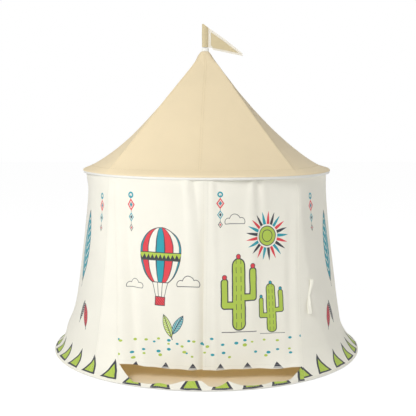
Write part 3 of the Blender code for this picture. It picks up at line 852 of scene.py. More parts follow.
def wall_surface(azimuth, height):
    """The outer face of the wall at rest."""
    down = drop(height)
    free = ease(down / 0.12) * ease((1 - down) / 0.10)
    plain = wall_radius(height, azimuth)
    spots = around(plain, azimuth, height)
    aside = np.sin(np.radians(azimuth))
    near_hoops = (
        0.0010 * np.exp(-(1 - down) / 0.06) * ease((1 - down) / 0.03),
        0.0007 * np.exp(-down / 0.03) * ease(down / 0.01),
    )
    return (
        plain
        # the four ridges that the legs and the seams beside them hold out
        + 0.0150 * crest(azimuth, right_crease(height), 10) * free
        + 0.0150 * crest(azimuth, left_seam(height), 8) * free
        + 0.0080 * (crest(azimuth, 131.8, 12) + crest(azimuth, 221.8, 12)) * free
        # slack, and puckers at the two hoops
        + 0.0022 * free * wander(spots * (1, 1, 0.25), 0.17, 21)
        + near_hoops[0] * wander(spots * (1, 1, 0.3), 0.045, 22)
        + near_hoops[1] * wander(spots * (1, 1, 0.2), 0.030, 23)
        # drawn in at both sides, fuller low down at the left, and under the eaves at the left front
        - (0.0048 - 0.0018 * aside) * aside**4 * free * ease((height - 0.06) / 0.20)
        + 0.0175 * hump(turn_from(-90, azimuth), 30) * hump(height - 0.088, 0.055)
        * ease((1 - down) / 0.05)
        + 0.0125 * ease(down / 0.0022) * np.exp(-down / 0.07) * hump(turn_from(-38, azimuth), 34)
    )


def upright(azimuth):
    """A line that stays at one azimuth all the way down."""
    return lambda height: azimuth + 0 * height


WALL_LINES = [
    lambda height: jamb_azimuth(1, height),
    right_crease,
    *[upright(azimuth) for azimuth in (90, 138, 180, 222, 270)],
    left_seam,
    lambda height: 360 + jamb_azimuth(-1, height),
]
FIRST_LINE, CREASE_LINE, LAST_LINE = 0, 1, 8  # the others are seams
WALL_COUNTS = (10, 34, 34, 30, 30, 34, 34, 12)  # columns between each line and the next


# %% The wall cloth
WALL_ROWS = 92
HEM_BAND = 0.012
FELL = 0.0006
SUNK_EDGE = 0.0007
WALL_LAP = (-4, 12, 28, 44)  # angles at which the wall lies on the lower channel


def fractions(count, crowd=1.35):
    """Fractions from 0 to 1, crowded towards both ends."""
    x = np.linspace(-1, 1, count + 1)
    return (np.sign(x) * (1 - (1 - np.abs(x)) ** crowd) + 1) / 2


def between_lines(lines, counts, heights):
    """Azimuths of columns that run between neighbouring lines, a row for each height."""
    columns = []
    for i, count in enumerate(counts):
        low, high = lines[i](heights)[:, None], lines[i + 1](heights)[:, None]
        steps = fractions(count)[None, : -1 if i < len(counts) - 1 else None]
        columns.append(low + (high - low) * steps)
    return np.concatenate(columns, axis=1)


def wall_face(azimuth, height):
    """The wall's outer face with its felled seams, and its edges let down onto the curtains."""
    radius = wall_surface(azimuth, height)
    for number, line in enumerate(WALL_LINES):
        off = np.radians(np.abs(turn_from(line(height), azimuth))) * radius
        if number in (FIRST_LINE, LAST_LINE):
            radius = radius - SUNK_EDGE * ease(1 - off / HEM_BAND)
        elif number != CREASE_LINE:
            radius = radius + FELL * ease((0.0085 - off) / 0.003) * (drop(height) < 0.99)
    return around(radius + SHELL_GAP, azimuth, height)


def with_foot(points, azimuth, up):
    """Adds the rows that lie on the lower channel, and the map that goes with all the rows."""
    foot = np.array(WALL_LAP)[:, None]
    lap = on_channel(BASE_HOOP, BASE_CHANNEL, azimuth[:1] + 0 * foot, foot, 0.0011)
    lap_up = np.repeat((foot - 61) * 0.00014, azimuth.shape[1], 1)
    across = np.concatenate([azimuth[:1] + 0 * foot, azimuth])
    return np.concatenate([lap, points]), map_at(across, np.concatenate([lap_up, up]))


wall_heights = np.linspace(0, 1, WALL_ROWS)
wall_heights = 0.35 * wall_heights + 0.65 * wall_heights**1.5  # closer together at the foot
wall_heights = WALL_FOOT[1] + (WALL_TOP[1] - WALL_FOOT[1]) * wall_heights
# One more row, so that the cloth steps out to the channel's face inside the channel.
wall_heights = np.insert(wall_heights, -1, WALL_TOP[1] - 0.0016)
wall_azimuth = between_lines(WALL_LINES, WALL_COUNTS, wall_heights)
wall_height = np.repeat(wall_heights[:, None], wall_azimuth.shape[1], axis=1)
wall_up = length_along(wall_radius(wall_heights), wall_heights)
wall_points, wall_uvs = with_foot(
    wall_face(wall_azimuth, wall_height), wall_azimuth, wall_up[:, None] + 0 * wall_azimuth
)
wall_cloth = cloth_shell("wall_cloth", wall_points, wall_uvs, CLOTH, printed_wall)
dress(wall_cloth, WALL_SLOT, *[f"wall_panel_{i + 1}" for i in range(6)])
print("wall:", len(wall_cloth.data.polygons), "faces, up the cloth", round(wall_up[-1], 3), "m")

# %% [markdown]
# ## The sill
#
# Under the doorway only a low strip of the wall is left. Nothing holds its top
# edge, so it droops to the piping in places and stands up in others, and its
# ends climb to the jambs in a curve. A height for each column says all of that.

# %% The sill cloth
SILL_ROWS = 12
SILL_COLUMNS = 150
SILL_EDGE = (  # place across the doorway from -1 to 1, and how high the edge stands
    (-1.0, 0.0620), (-0.96, 0.0450), (-0.92, 0.0320), (-0.87, 0.0220), (-0.82, 0.0165),
    (-0.67, 0.0165), (-0.54, 0.0200), (-0.45, 0.0180), (-0.36, 0.0240), (-0.28, 0.0305),
    (-0.11, 0.0305), (-0.04, 0.0180), (0.04, 0.0170), (0.10, 0.0210), (0.16, 0.0310),
    (0.22, 0.0230), (0.29, 0.0170), (0.36, 0.0165), (0.45, 0.0155), (0.54, 0.0155),
    (0.61, 0.0190), (0.67, 0.0175), (0.73, 0.0165), (0.80, 0.0185), (0.86, 0.0225),
    (0.92, 0.0300), (0.96, 0.0380), (1.0, 0.0520),
)
SILL_BORDER_LOW = 0.0085  # how much lower its border was printed than the wall's


def through(stops, x):
    """A soft curve through the stops."""
    places, values = np.array(stops).T
    fine = np.linspace(places[0], places[-1], 400)
    rough = np.interp(fine, places, values)
    kernel = np.hanning(15)
    padded = np.concatenate([np.full(7, rough[0]), rough, np.full(7, rough[-1])])
    return np.interp(x, fine, np.convolve(padded, kernel / kernel.sum(), "valid"))


across = np.linspace(-1, 1, SILL_COLUMNS)[None, :]
share = np.linspace(0, 1, SILL_ROWS)[:, None]
sill_top = through(SILL_EDGE, across)
sill_height = WALL_FOOT[1] + (sill_top - WALL_FOOT[1]) * share
middle = (jamb_azimuth(1, sill_height) + jamb_azimuth(-1, sill_height)) / 2
sill_azimuth = middle + across * (jamb_azimuth(1, sill_height) - middle)
loose = share**1.5 * ease((1 - np.abs(across)) / 0.12)
flop = loose * (0.0035 * np.sin(across * 17.0 + 0.6) + 0.0025 * np.sin(across * 31.0 + 2.0))
sill_radius = wall_surface(sill_azimuth, sill_height) + SHELL_GAP + flop
sill_points, sill_uvs = with_foot(
    around(sill_radius, sill_azimuth, sill_height),
    sill_azimuth,
    np.interp(sill_height, wall_heights, wall_up),
)
sill_uvs[..., 1] += SILL_BORDER_LOW
sill_cloth = cloth_shell("sill_cloth", sill_points, sill_uvs, CLOTH, printed_wall)
dress(sill_cloth, WALL_SLOT, "door_sill")
print("sill:", len(sill_cloth.data.polygons), "faces")

# %% [markdown]
# ## The curtains
#
# Each curtain is sewn down its jamb, hangs from a tape inside the eaves, and
# falls free to a hem just above the floor. Near the jamb it follows the wall,
# and towards the middle it hangs on its own. A cloth simulation could find the
# folds, but it would not put them where they are on the real one. Here a few
# soft ridges are laid down one by one: deep and narrow at the gathered top, and
# wide and shallow at the hem.

# %% The rule for the curtains
CURTAIN_ROWS = 96
CURTAIN_COLUMNS = 84
CURTAIN_TOP_Z = 0.6988
CURTAIN_HEM_Z = 0.0415
HANG_TOP_R = 0.4595
HANG_HEM_R = 0.4865
TUCK = 1.0  # degrees of curtain that lie behind the wall, where it is sewn
FREE_EDGE = {1: (-0.006, -0.013), -1: (0.001, -0.003)}  # beyond the middle, at the top and the hem
FOLDS = {  # metres from the middle, half width and depth, at the top and then at the hem
    1: (
        ((0.020, 0.0100, 0.0042), (0.028, 0.0130, 0.0030)),
        ((0.153, 0.0090, 0.0050), (0.160, 0.0330, 0.0050)),
        ((0.173, 0.0080, -0.0042), (0.200, 0.0300, -0.0012)),
        ((0.190, 0.0100, 0.0030), (0.215, 0.0300, 0.0)),
        ((0.240, 0.0350, 0.0008), (0.255, 0.0350, -0.0010)),
    ),
    -1: (
        ((0.014, 0.0110, 0.0028), (0.000, 0.0200, -0.0095)),
        ((0.044, 0.0100, -0.0044), (0.016, 0.0120, 0.0)),
        ((0.068, 0.0110, 0.0048), (0.050, 0.0180, 0.0022)),
        ((0.125, 0.0300, 0.0010), (0.125, 0.0350, 0.0028)),
        ((0.200, 0.0300, 0.0), (0.200, 0.0350, -0.0020)),
    ),
}
SIDES = {-1: "left", 1: "right"}
HEM_RISE = {1: (0.004, 0.25), -1: (0.016, 0.60)}  # at the jamb, and over what share of the curtain
# A dip beside the jamb: its place, half width and depth.
JAMB_TROUGH = {1: (0.034, 0.017, 0.0048), -1: (0.046, 0.022, 0.0125)}
EDGE_FOLD = 0.010  # width of the turned edge in the middle of the doorway
OVERLAP = {1: 0.0028, -1: 0.0}  # the right curtain's edge lies over the left one's


def curtain_surface(side):
    """The outer face of one curtain, columns to the right and rows up, with its map."""
    share = np.linspace(0, 1, CURTAIN_COLUMNS)[None, :]
    from_jamb = share if side < 0 else 1 - share
    up = np.append(0.998 * np.linspace(0, 1, CURTAIN_ROWS) ** 1.1, 1.0)[:, None]
    rise, reach = HEM_RISE[side]
    hem = CURTAIN_HEM_Z + rise * (1 - ease(from_jamb / reach)) + 0.0010 * np.sin(share * 23 + side)
    height = hem + (CURTAIN_TOP_Z - hem) * up
    below_top = CURTAIN_TOP_Z - height
    down = below_top / (CURTAIN_TOP_Z - CURTAIN_HEM_Z)
    sewn = jamb_azimuth(side, height)
    hang = HANG_TOP_R + (HANG_HEM_R - HANG_TOP_R) * down
    edge_top, edge_hem = FREE_EDGE[side]
    free_edge = np.degrees((edge_top + (edge_hem - edge_top) * down) / hang)
    azimuth = sewn + side * TUCK + (free_edge - sewn - side * TUCK) * from_jamb
    on_wall = wall_surface(azimuth, height) - SUNK_EDGE
    free = ease(from_jamb / 0.55)

    # The folds that hang from the tape, and the dip beside the jamb.
    aside = np.abs(hang * np.sin(np.radians(azimuth)))
    at_top = np.exp(-below_top / 0.20)
    relief = 0
    for at_eaves, at_hem in FOLDS[side]:
        place, width, depth = (a * at_top + b * (1 - at_top) for a, b in zip(at_eaves, at_hem))
        relief = relief + depth * hump(aside - place, width)
    from_line = np.radians(np.abs(azimuth - sewn)) * hang
    place, width, depth = JAMB_TROUGH[side]
    relief = relief - depth * ease(down / 0.5) * hump(from_line - place, width)
    under_tape = ease(below_top / 0.006) * 0.6 + 0.4
    radius = on_wall * (1 - free) + hang * free + relief * under_tape * ease(from_line / 0.022)

    # Slack, the overlap, the fullness over the tape's edge, and the turned hems.
    spots = around(radius, azimuth, height)
    slack = wander(spots * (1, 1, 0.3), 0.13, 30 + side)
    radius = radius + 0.0010 * slack * ease(from_jamb / 0.15)
    radius = radius + OVERLAP[side] * ease((from_jamb - 0.9) / 0.06)
    forward = 0.0170 - 0.0110 * ease((azimuth + 14) / 30)
    radius = radius + forward * ease(below_top / 0.0013) * np.exp(-below_top / 0.085) * free
    folded = (height - hem < HEM_BAND) | (from_jamb > 1 - EDGE_FOLD / JAMB_HALF)
    return around(radius + 0.0007 * folded, azimuth, height), map_at(azimuth, height)


def draw_with(piece):
    """Bakes the piece's place into its own mesh."""
    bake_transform(piece)


# %% The curtain cloths
curtain_cloths, curtain_points = {}, {}
for side, word in SIDES.items():
    curtain_points[side], uvs = curtain_surface(side)
    curtain = cloth_shell(
        f"curtain_cloth_{word}", curtain_points[side], uvs, CLOTH, printed_curtain
    )
    dress(curtain, WALL_SLOT, f"curtain_{word}", body=None)
    draw_with(curtain)
    curtain_cloths[side] = curtain
    print(curtain.name, len(curtain.data.polygons), "faces")

# %% [markdown]
# ## Tape, piping and floor
#
# The curtains hang from a flat tape. White piping is sewn round both hoops as a
# sleeve, and because a straight strip is bent into a ring, its inner side
# puckers. The floor is a round sheet. It lies on the ground, so it is flat but
# for a few low ripples, and the feet stand on it.

# %% The header tape
TAPE_HALF_TURN = 40.5
TAPE_RADII = (0.4665, 0.4379)  # its sewn edge and its free one
TAPE_Z = 0.7008

tape_share = np.linspace(0, 1, 6)[:, None]
tape_azimuth = np.linspace(-TAPE_HALF_TURN, TAPE_HALF_TURN, 120)[None, :] + 0 * tape_share
tape_radius = TAPE_RADII[0] + (TAPE_RADII[1] - TAPE_RADII[0]) * tape_share + 0 * tape_azimuth
tape_points = around(tape_radius, tape_azimuth, TAPE_Z)
tape_uvs = map_at(tape_azimuth, tape_radius)
header_tape = cloth_shell("header_tape", tape_points, tape_uvs, 0.0010, white_binding)
dress(header_tape, BINDING_SLOT, "door_header")

# %% Channels round the hoops
SLIT = (173, 157)  # the edges of the strip, inside and a little up, where the cloth is sewn in
CHANNEL_COLUMNS = 540
CHANNEL_ROWS = 34


def channel(name, node, hoop, section, pucker):
    """A strip of white binding bent round a hoop, from one edge of the slit to the other."""
    azimuth = np.linspace(0, 360, CHANNEL_COLUMNS, endpoint=False)
    angle = np.linspace(SLIT[0] - 360, SLIT[1], CHANNEL_ROWS)[:, None]
    flat_ring = around(hoop[0], azimuth[None, :], 0.0)
    inside = 0.6 - 0.4 * np.cos(np.radians(angle))  # puckers are deeper on the inner side
    wave = pucker * wander(flat_ring, 0.022, len(name)) * inside
    points = on_channel(hoop, section, azimuth[None, :], angle, wave)
    uvs = ring_map(azimuth, np.radians(angle[:, 0]) * section[0], hoop[0])
    made = cloth_shell(name, points, uvs, CLOTH, white_binding, True)
    dress(made, BINDING_SLOT, node)
    return made


eaves_piping = channel("eaves_piping", "eaves_hem", EAVES_HOOP, EAVES_CHANNEL, 0.0004)
base_piping = channel("base_piping", "base_hem", BASE_HOOP, BASE_CHANNEL, 0.0003)

# %% The floor sheet
FLOOR_RINGS = (  # radii, closer together towards the edge
    0.5875, 0.58, 0.565, 0.54, 0.51, 0.48, 0.45, 0.42,
    0.38, 0.34, 0.29, 0.24, 0.19, 0.14, 0.09, 0.04,
)
FLOOR_COLUMNS = 120
FLOOR_TOP, FLOOR_UNDER = 0.0013, 0.0004
FEET_RADIUS = 0.51


def floor_sheet():
    """A round sheet with ripples that keep off the feet. Each layer ends in a fan of triangles."""
    rows, columns = len(FLOOR_RINGS), FLOOR_COLUMNS
    azimuth = np.linspace(0, 360, columns, endpoint=False)
    ring, turn = np.meshgrid(FLOOR_RINGS, azimuth, indexing="ij")
    from_foot = (turn - FRAME_TURN) % 90 - 45
    off_feet = 1 - np.exp(-(((ring - FEET_RADIUS) / 0.05) ** 2) - ((from_foot / 12) ** 2))
    low_spots = np.clip(wander(around(ring, turn, 0.0), 0.20, 51) + 0.2, 0, 1)
    ripple = 0.0012 * low_spots * off_feet * ease((FLOOR_RINGS[0] - ring) / 0.03)
    layers = around(ring, turn, FLOOR_TOP + ripple), around(ring, turn, FLOOR_UNDER)
    centres = [[0, 0, FLOOR_TOP]], [[0, 0, FLOOR_UNDER]]
    points = np.concatenate([layer.reshape(-1, 3) for layer in layers] + list(centres))
    face = grid_corners(rows, columns, True)[2]
    offset = rows * columns
    side = np.arange(columns)
    beside, last = (side + 1) % columns, offset - columns
    top_fan = last + side, last + beside, np.full(columns, 2 * offset)
    low_fan = offset + last + beside, offset + last + side, np.full(columns, 2 * offset + 1)
    rim = beside, side, side + offset, beside + offset
    faces = face.tolist() + (face[:, ::-1] + offset).tolist()
    for strip in (top_fan, low_fan, rim):
        faces += np.stack(strip, 1).tolist()
    corner_uvs = np.concatenate([points[face][:, :2] for face in faces])
    return make_piece("floor_sheet", points, faces, corner_uvs, floor_cloth)


floor = floor_sheet()
dress(floor, "floor_cloth", "floor_mat")
print("piping and floor made")

# %% [markdown]
# ## Collar, flag and ribbon
#
# A strip of binding gathers the roof round the mast. Above it a flat sleeve
# slips over the mast, and the pennant is sewn to the sleeve's edge with white
# binding folded round its raw edges. The sleeve turns on the mast, so all of
# these but the collar ride on the flag.

# %% The collar at the peak
COLLAR = (  # radius and height of its profile, from the outside foot, over the top, to the mast
    (0.0124, 1.1612), (0.0133, 1.1622), (0.0136, 1.1660), (0.0135, 1.1702), (0.0131, 1.1730),
    (0.0121, 1.1749), (0.0102, 1.1757), (0.0078, 1.1764), (0.0060, 1.1772), (0.0050, 1.1762),
)
COLLAR_LEAN = -0.0045  # its foot leans with the top of the roof
COLLAR_COLUMNS = 144
COLLAR_GATHERS = 9

collar_azimuth = np.linspace(0, 360, COLLAR_COLUMNS, endpoint=False)
collar_r, collar_z = np.array(COLLAR).T[..., None]
gathers = np.abs(np.cos(np.radians(collar_azimuth) * COLLAR_GATHERS)) ** 0.7
depth = np.interp(collar_r, (0.006, 0.010, 0.013), (0.0, 0.0004, 0.0009))
collar_points = around(collar_r - depth * (1 - gathers), collar_azimuth, collar_z)
collar_points[..., 0] += COLLAR_LEAN * ease((collar_r - 0.005) / 0.008)
collar_along = length_along(collar_r[:, 0], collar_z[:, 0])
collar_uvs = ring_map(collar_azimuth, collar_along, 0.013)
collar = cloth_shell("peak_collar", collar_points, collar_uvs, 0.0008, white_binding, True)
dress(collar, BINDING_SLOT, "peak_cap")

# %% The flag's sleeve
SLEEVE_MIDDLE = -0.0050
SLEEVE_HALF = 0.0128
SLEEVE_PEAK_X = -0.0120
SLEEVE_DEPTH = (0.0085, 0.0078)  # in front of its flat middle, and behind
SLEEVE_RIDGE = -0.40  # where it is thickest: -1 is its left edge and 1 its right
SLEEVE_FOOT = 1.1787
SLEEVE_TOP = 1.2674
FLAG_SLANT = 0.744
SLEEVE_COLUMNS, SLEEVE_ROWS = 56, 30


def slanted_top(x):
    """The flag's upper edge falls away from the highest point of its sleeve."""
    return SLEEVE_TOP - FLAG_SLANT * np.clip(x - SLEEVE_PEAK_X, 0, None)


turn = np.linspace(0, 2 * math.pi, SLEEVE_COLUMNS, endpoint=False)[None, :]
up = np.linspace(0, 1, SLEEVE_ROWS)[:, None]
sleeve_x = SLEEVE_MIDDLE + SLEEVE_HALF * np.sin(turn) * (1 - 0.03 * np.sin(up * 9))
from_ridge = np.sin(turn) - SLEEVE_RIDGE
swell = 1 - (from_ridge / np.where(from_ridge < 0, 1 + SLEEVE_RIDGE, 1 - SLEEVE_RIDGE)) ** 2
sleeve_y = np.where(np.cos(turn) > 0, -SLEEVE_DEPTH[0], SLEEVE_DEPTH[1]) * swell
sleeve_y = sleeve_y * (0.96 + 0.04 * np.sin(up * 7 + turn * 2))
sleeve_z = SLEEVE_FOOT + (slanted_top(sleeve_x) - SLEEVE_FOOT) * up
sleeve_points = np.stack(np.broadcast_arrays(sleeve_x, sleeve_y, sleeve_z), axis=-1)
round_it = np.linspace(0, 4 * SLEEVE_HALF, SLEEVE_COLUMNS + 1)
sleeve_uvs = np.stack(np.meshgrid(round_it, (SLEEVE_TOP - SLEEVE_FOOT) * up), axis=-1)
flag_sleeve = cloth_shell(
    "flag_sleeve_cloth", sleeve_points, sleeve_uvs, 0.0008, shaded_flag_cloth, True
)
dress(flag_sleeve, ROOF_SLOT, "flag_sleeve", body="flag")

# %% The pennant and its bindings
PENNANT_START = 0.0083
PENNANT_TIP = (0.1395, 1.1500)
PENNANT_LOW = 1.1722  # its lower edge at the mast, if it didn't rise to pass over the collar
COLLAR_CLEAR = (0.0190, 0.0075, 1.1781)  # reach of the rise, how soon it fades, and its height
PENNANT_THICK = 0.0010
BINDING_WIDE = (0.0104, 0.0068)  # along the upper edge and the lower one
BINDING_THICK, BINDING_BULGE = 0.0024, 0.0004
STRIP_WIDE, STRIP_THICK = 0.0087, 0.0032
TURNED_EDGE = 0.0010  # how far a binding stands over the cloth's edge


def pennant_share(x):
    """0 where the pennant starts, and 1 at its tip."""
    return np.clip((x - PENNANT_START) / (PENNANT_TIP[0] - PENNANT_START), 0, 1)


def pennant_edges(x):
    """Lower and upper edge of the pennant at a distance from the mast."""
    share = pennant_share(x)
    low = PENNANT_LOW + (PENNANT_TIP[1] - 0.0042 - PENNANT_LOW) * share**1.15
    reach, fade, clear = COLLAR_CLEAR
    low = low + (clear - low) * ease((reach + fade - x) / fade)
    start = slanted_top(PENNANT_START) - 0.0005
    high = start + (PENNANT_TIP[1] + 0.0040 - start) * share + 0.0036 * np.sin(math.pi * share)
    return low, high


def pennant_wave(x, z):
    """The cloth bellies a little towards and away from the camera."""
    share = pennant_share(x)
    return 0.0042 * np.sin(share * 4.4 + (z - 1.2) * 11) * share**0.8 - 0.0012 * share


def flag_piece(name, across, low, high, thickness, material, rows, bulge=0.0):
    """A sheet of the pennant between two heights for each distance from the mast."""
    up = np.linspace(0, 1, rows)[:, None]
    x = across[None, :] + 0 * up
    z = low[None, :] + (high - low)[None, :] * up
    y = pennant_wave(x, z) - thickness / 2 - bulge * np.sin(up * math.pi)
    points = np.stack([x, y, z], axis=-1)
    return cloth_shell(name, points, points[..., [0, 2]], thickness, material)


def binding(name, low, high):
    return flag_piece(
        name, across_flag, low, high, BINDING_THICK, flag_binding, 9, BINDING_BULGE
    )


across_flag = PENNANT_START + (PENNANT_TIP[0] - PENNANT_START) * np.linspace(0, 1, 60)
low, high = pennant_edges(across_flag)
pennant = flag_piece("pennant_cloth", across_flag, low, high, PENNANT_THICK, shaded_flag_cloth, 18)
dress(pennant, ROOF_SLOT, "flag_pennant", body="flag")
top_binding = binding("pennant_top_binding", high - BINDING_WIDE[0], high + TURNED_EDGE)
low_binding = binding("pennant_low_binding", low - TURNED_EDGE, low + BINDING_WIDE[1])
strip_x = np.linspace(PENNANT_START - 0.0006, PENNANT_START + STRIP_WIDE, 9)
low, high = pennant_edges(strip_x)
join_strip = flag_piece(
    "pennant_join_strip", strip_x, low - 0.0008, high + TURNED_EDGE, STRIP_THICK, flag_binding, 40
)
for piece in (top_binding, low_binding, join_strip):
    dress(piece, BINDING_SLOT, body="flag")
print("flag made, its tip at", [round(x, 4) for x in PENNANT_TIP])

# %% The tie ribbon
RIBBON_AZIMUTH = 44.6
RIBBON_RADIUS = 0.51  # of the wall behind it
RIBBON_Z = (0.2160, 0.3350)
RIBBON_KNOT = 0.280
RIBBON_HALF = 0.0056

ribbon_up = np.linspace(RIBBON_Z[0], RIBBON_Z[1], 60)[:, None]
from_knot = ribbon_up - RIBBON_KNOT
to_end = ease(np.abs(from_knot) / 0.05)  # 0 at the knot and 1 towards both ends
narrow = 1 - 0.55 * hump(from_knot, 0.006)
ribbon_across = np.linspace(-1, 1, 9)[None, :] * RIBBON_HALF * narrow
leave = 0.0075 * to_end * np.where(from_knot < 0, 1.0, 0.7)
curl = 0.0012 * np.sin(ribbon_across / RIBBON_HALF * 2.4 + from_knot * 60)
twist = 0.70 * ribbon_across * to_end  # its ends turn to face the front
sway = 0.9 * np.sin(from_knot * 34) + 0.5 * np.sign(from_knot) * ease(np.abs(from_knot) / 0.04)
ribbon_azimuth = RIBBON_AZIMUTH + sway + np.degrees(ribbon_across / RIBBON_RADIUS)
ribbon_r = wall_surface(ribbon_azimuth, ribbon_up) + 0.0022 + leave + curl + twist
ribbon_points = around(ribbon_r, ribbon_azimuth, ribbon_up)
ribbon_uvs = np.stack(np.broadcast_arrays(ribbon_across, ribbon_up), axis=-1)
ribbon = cloth_shell("tie_ribbon_cloth", ribbon_points, ribbon_uvs, 0.0007, cream_ribbon)
dress(ribbon, WALL_SLOT, "tie_ribbon")

# %% [markdown]
# ## Stitches
#
# Every seam is sewn with two rows of stitches, and every hem with one. Each
# stitch could be drawn in the cloth's material, but a real thread stands up and
# catches the light. A Geometry Nodes tree lays them: it takes lines, puts a
# point every few millimetres along them, and sets a small bead of thread on each
# point, turned along the line and standing on the cloth.

# %% The stitch tree
STITCH_PITCH = 0.0046
STITCH_LIFT = 0.0002
STITCH_LENGTH = 0.0034
STITCH_THICK = 0.0008
STITCH_INPUTS = {
    "Lines": "Geometry", "Pitch": "Float", "Length": "Float",
    "Thickness": "Float", "Thread": "Material",
}


def stitch_tree():
    """Beads of thread along edges. The attribute out says which way is off the cloth."""
    tree = bpy.data.node_groups.new("stitches", "GeometryNodeTree")
    sockets = {}
    for name, kind in STITCH_INPUTS.items():
        kind = "NodeSocket" + kind
        sockets[name] = tree.interface.new_socket(name, in_out="INPUT", socket_type=kind).identifier
    tree.interface.new_socket("Stitches", in_out="OUTPUT", socket_type="NodeSocketGeometry")

    def node(kind, links, **settings):
        return make_node(tree, kind, settings, links).outputs[0]

    align = "FunctionNodeAlignRotationToVector"
    given = tree.nodes.new("NodeGroupInput").outputs
    curve = node("GeometryNodeMeshToCurve", {"Mesh": given["Lines"]})
    pitch = {"Curve": curve, "Length": given["Pitch"]}
    points = node("GeometryNodeResampleCurve", pitch, mode="LENGTH")
    out = node("GeometryNodeInputNamedAttribute", {"Name": "out"}, data_type="FLOAT_VECTOR")
    standing = node(align, {"Vector": out}, axis="Z")
    along = node("GeometryNodeInputTangent", {})
    turned = node(align, {"Rotation": standing, "Vector": along}, axis="X", pivot_axis="Z")
    thick = given["Thickness"]
    size = node("ShaderNodeCombineXYZ", {0: given["Length"], 1: thick, 2: thick})
    bead = node("GeometryNodeMeshIcoSphere", {"Radius": 0.5, "Subdivisions": 1})
    smooth = node("GeometryNodeSetShadeSmooth", {0: bead})
    placing = {"Points": points, "Instance": smooth, "Rotation": turned, "Scale": size}
    beads = node("GeometryNodeInstanceOnPoints", placing)
    real = node("GeometryNodeRealizeInstances", {0: beads})
    sewn = node("GeometryNodeSetMaterial", {"Geometry": real, "Material": given["Thread"]})
    tree.links.new(sewn, tree.nodes.new("NodeGroupOutput").inputs[0])
    return tree, sockets


STITCHES, STITCH_SOCKETS = stitch_tree()


def sew(name, lines, thread):
    """Stitches along lines: each has its points, their outward directions and if it closes."""
    spots, outs, edges = [], [], []
    for points, out, closed in lines:
        first, last = sum(map(len, spots)), len(points) - 1
        edges += [(first + i, first + i + 1) for i in range(last)]
        edges += [(first + last, first)] if closed else []
        spots.append(points + out * STITCH_LIFT)
        outs.append(out)
    mesh = bpy.data.meshes.new(name + "_lines")
    mesh.from_pydata(np.concatenate(spots).tolist(), edges, [])
    layer = mesh.attributes.new("out", "FLOAT_VECTOR", "POINT")
    layer.data.foreach_set("vector", np.concatenate(outs).astype(np.float32).ravel())
    holder = new_object(name + "_lines", mesh)
    modifier = holder.modifiers.new("stitches", "NODES")
    modifier.node_group = STITCHES
    sizes = {"Pitch": STITCH_PITCH, "Length": STITCH_LENGTH, "Thickness": STITCH_THICK}
    for key, value in {**sizes, "Thread": thread}.items():
        modifier[STITCH_SOCKETS[key]] = value
    seen = holder.evaluated_get(bpy.context.evaluated_depsgraph_get())
    made = new_object(name, bpy.data.meshes.new_from_object(seen))
    bpy.data.objects.remove(holder)
    print(name, len(made.data.polygons), "faces")
    return made


def line_on(face, azimuth, height, closed=False):
    """A line on a round surface, with its outward directions, from the surface's own rule."""
    if closed:
        points = face(azimuth, height)
        normal = grid_normals(np.stack([points, face(azimuth, height + 0.002)]), True)[0]
        return points, normal, True
    grid = np.stack([face(azimuth + step, height) for step in (-0.15, 0, 0.15)], axis=1)
    return grid[:, 1], grid_normals(grid)[:, 1], False


# %% Sewing the roof and the wall
SEAM_HALF = 0.0040
FOOT_ROW = 0.012  # height of the row along the foot

thread_finish = {}
for name, colour in (("tan_thread", dye("dccaa0")), ("ivory_thread", dye("eeebdf"))):
    recipe = Recipe(name)
    twist = recipe.noise(recipe.coordinates("Object"), 2200.0, 2.0)
    shade = recipe.mix(twist, (*(c * 0.8 for c in colour[:3]), 1.0), colour)
    thread_finish[name] = recipe.finish(shade, twist * 0.1 + 0.5, twist, 0.0001)

lines = []
shares = np.linspace(0.035, 0.975, 70)
for seam in FRAME_TURN + np.arange(GORES) * 360 / GORES:
    for side in SIDES:
        aside = side * np.degrees(SEAM_HALF / roof_radius(seam, shares))
        lines.append(line_on(roof_surface, seam + aside, shares))
ring = np.linspace(0, 360, 480, endpoint=False)
lines.append(line_on(roof_surface, ring, 0.030 + 0 * ring, True))
roof_stitches = sew("roof_stitches", lines, thread_finish["tan_thread"])
dress(roof_stitches, ROOF_SLOT)

lines = []
heights = np.linspace(0.020, 0.688, 90)
for number, line in enumerate(WALL_LINES):
    if number == CREASE_LINE:
        continue
    for side in {FIRST_LINE: (1,), LAST_LINE: (-1,)}.get(number, SIDES):
        aside = side * np.degrees(SEAM_HALF / wall_radius(heights))
        lines.append(line_on(wall_face, line(heights) + aside, heights))


def foot_face(azimuth, height):
    """The cloth where it lies on the lower channel, at the angle of its stitches."""
    angle = 34 + (height - FOOT_ROW) * 4000
    return on_channel(BASE_HOOP, BASE_CHANNEL, azimuth, angle, 0.0012)


lines.append(line_on(foot_face, ring, FOOT_ROW + 0 * ring, True))
wall_stitches = sew("wall_stitches", lines, thread_finish["ivory_thread"])
dress(wall_stitches, WALL_SLOT)

# %% Sewing the curtains and the flag
HEM_ROW = 2.6  # grid rows up from the hem
EDGE_COLUMN = 2.4  # grid columns in from the free edge


def grid_line(points, at, along_rows=True):
    """A line between two rows or two columns of a grid, with its outward directions."""
    normals = grid_normals(points)
    if not along_rows:
        points, normals = points.swapaxes(0, 1), normals.swapaxes(0, 1)
    low, share = int(at // 1), at % 1
    blended = [grid[low] * (1 - share) + grid[low + 1] * share for grid in (points, normals)]
    return *blended, False


for side, word in SIDES.items():
    points = curtain_points[side]
    column = EDGE_COLUMN if side > 0 else CURTAIN_COLUMNS - 1 - EDGE_COLUMN
    lines = [grid_line(points, HEM_ROW), grid_line(points[3:], column, False)]
    curtain_stitches = sew(f"curtain_stitches_{word}", lines, thread_finish["ivory_thread"])
    draw_with(curtain_stitches)
    dress(curtain_stitches, WALL_SLOT, body=None)

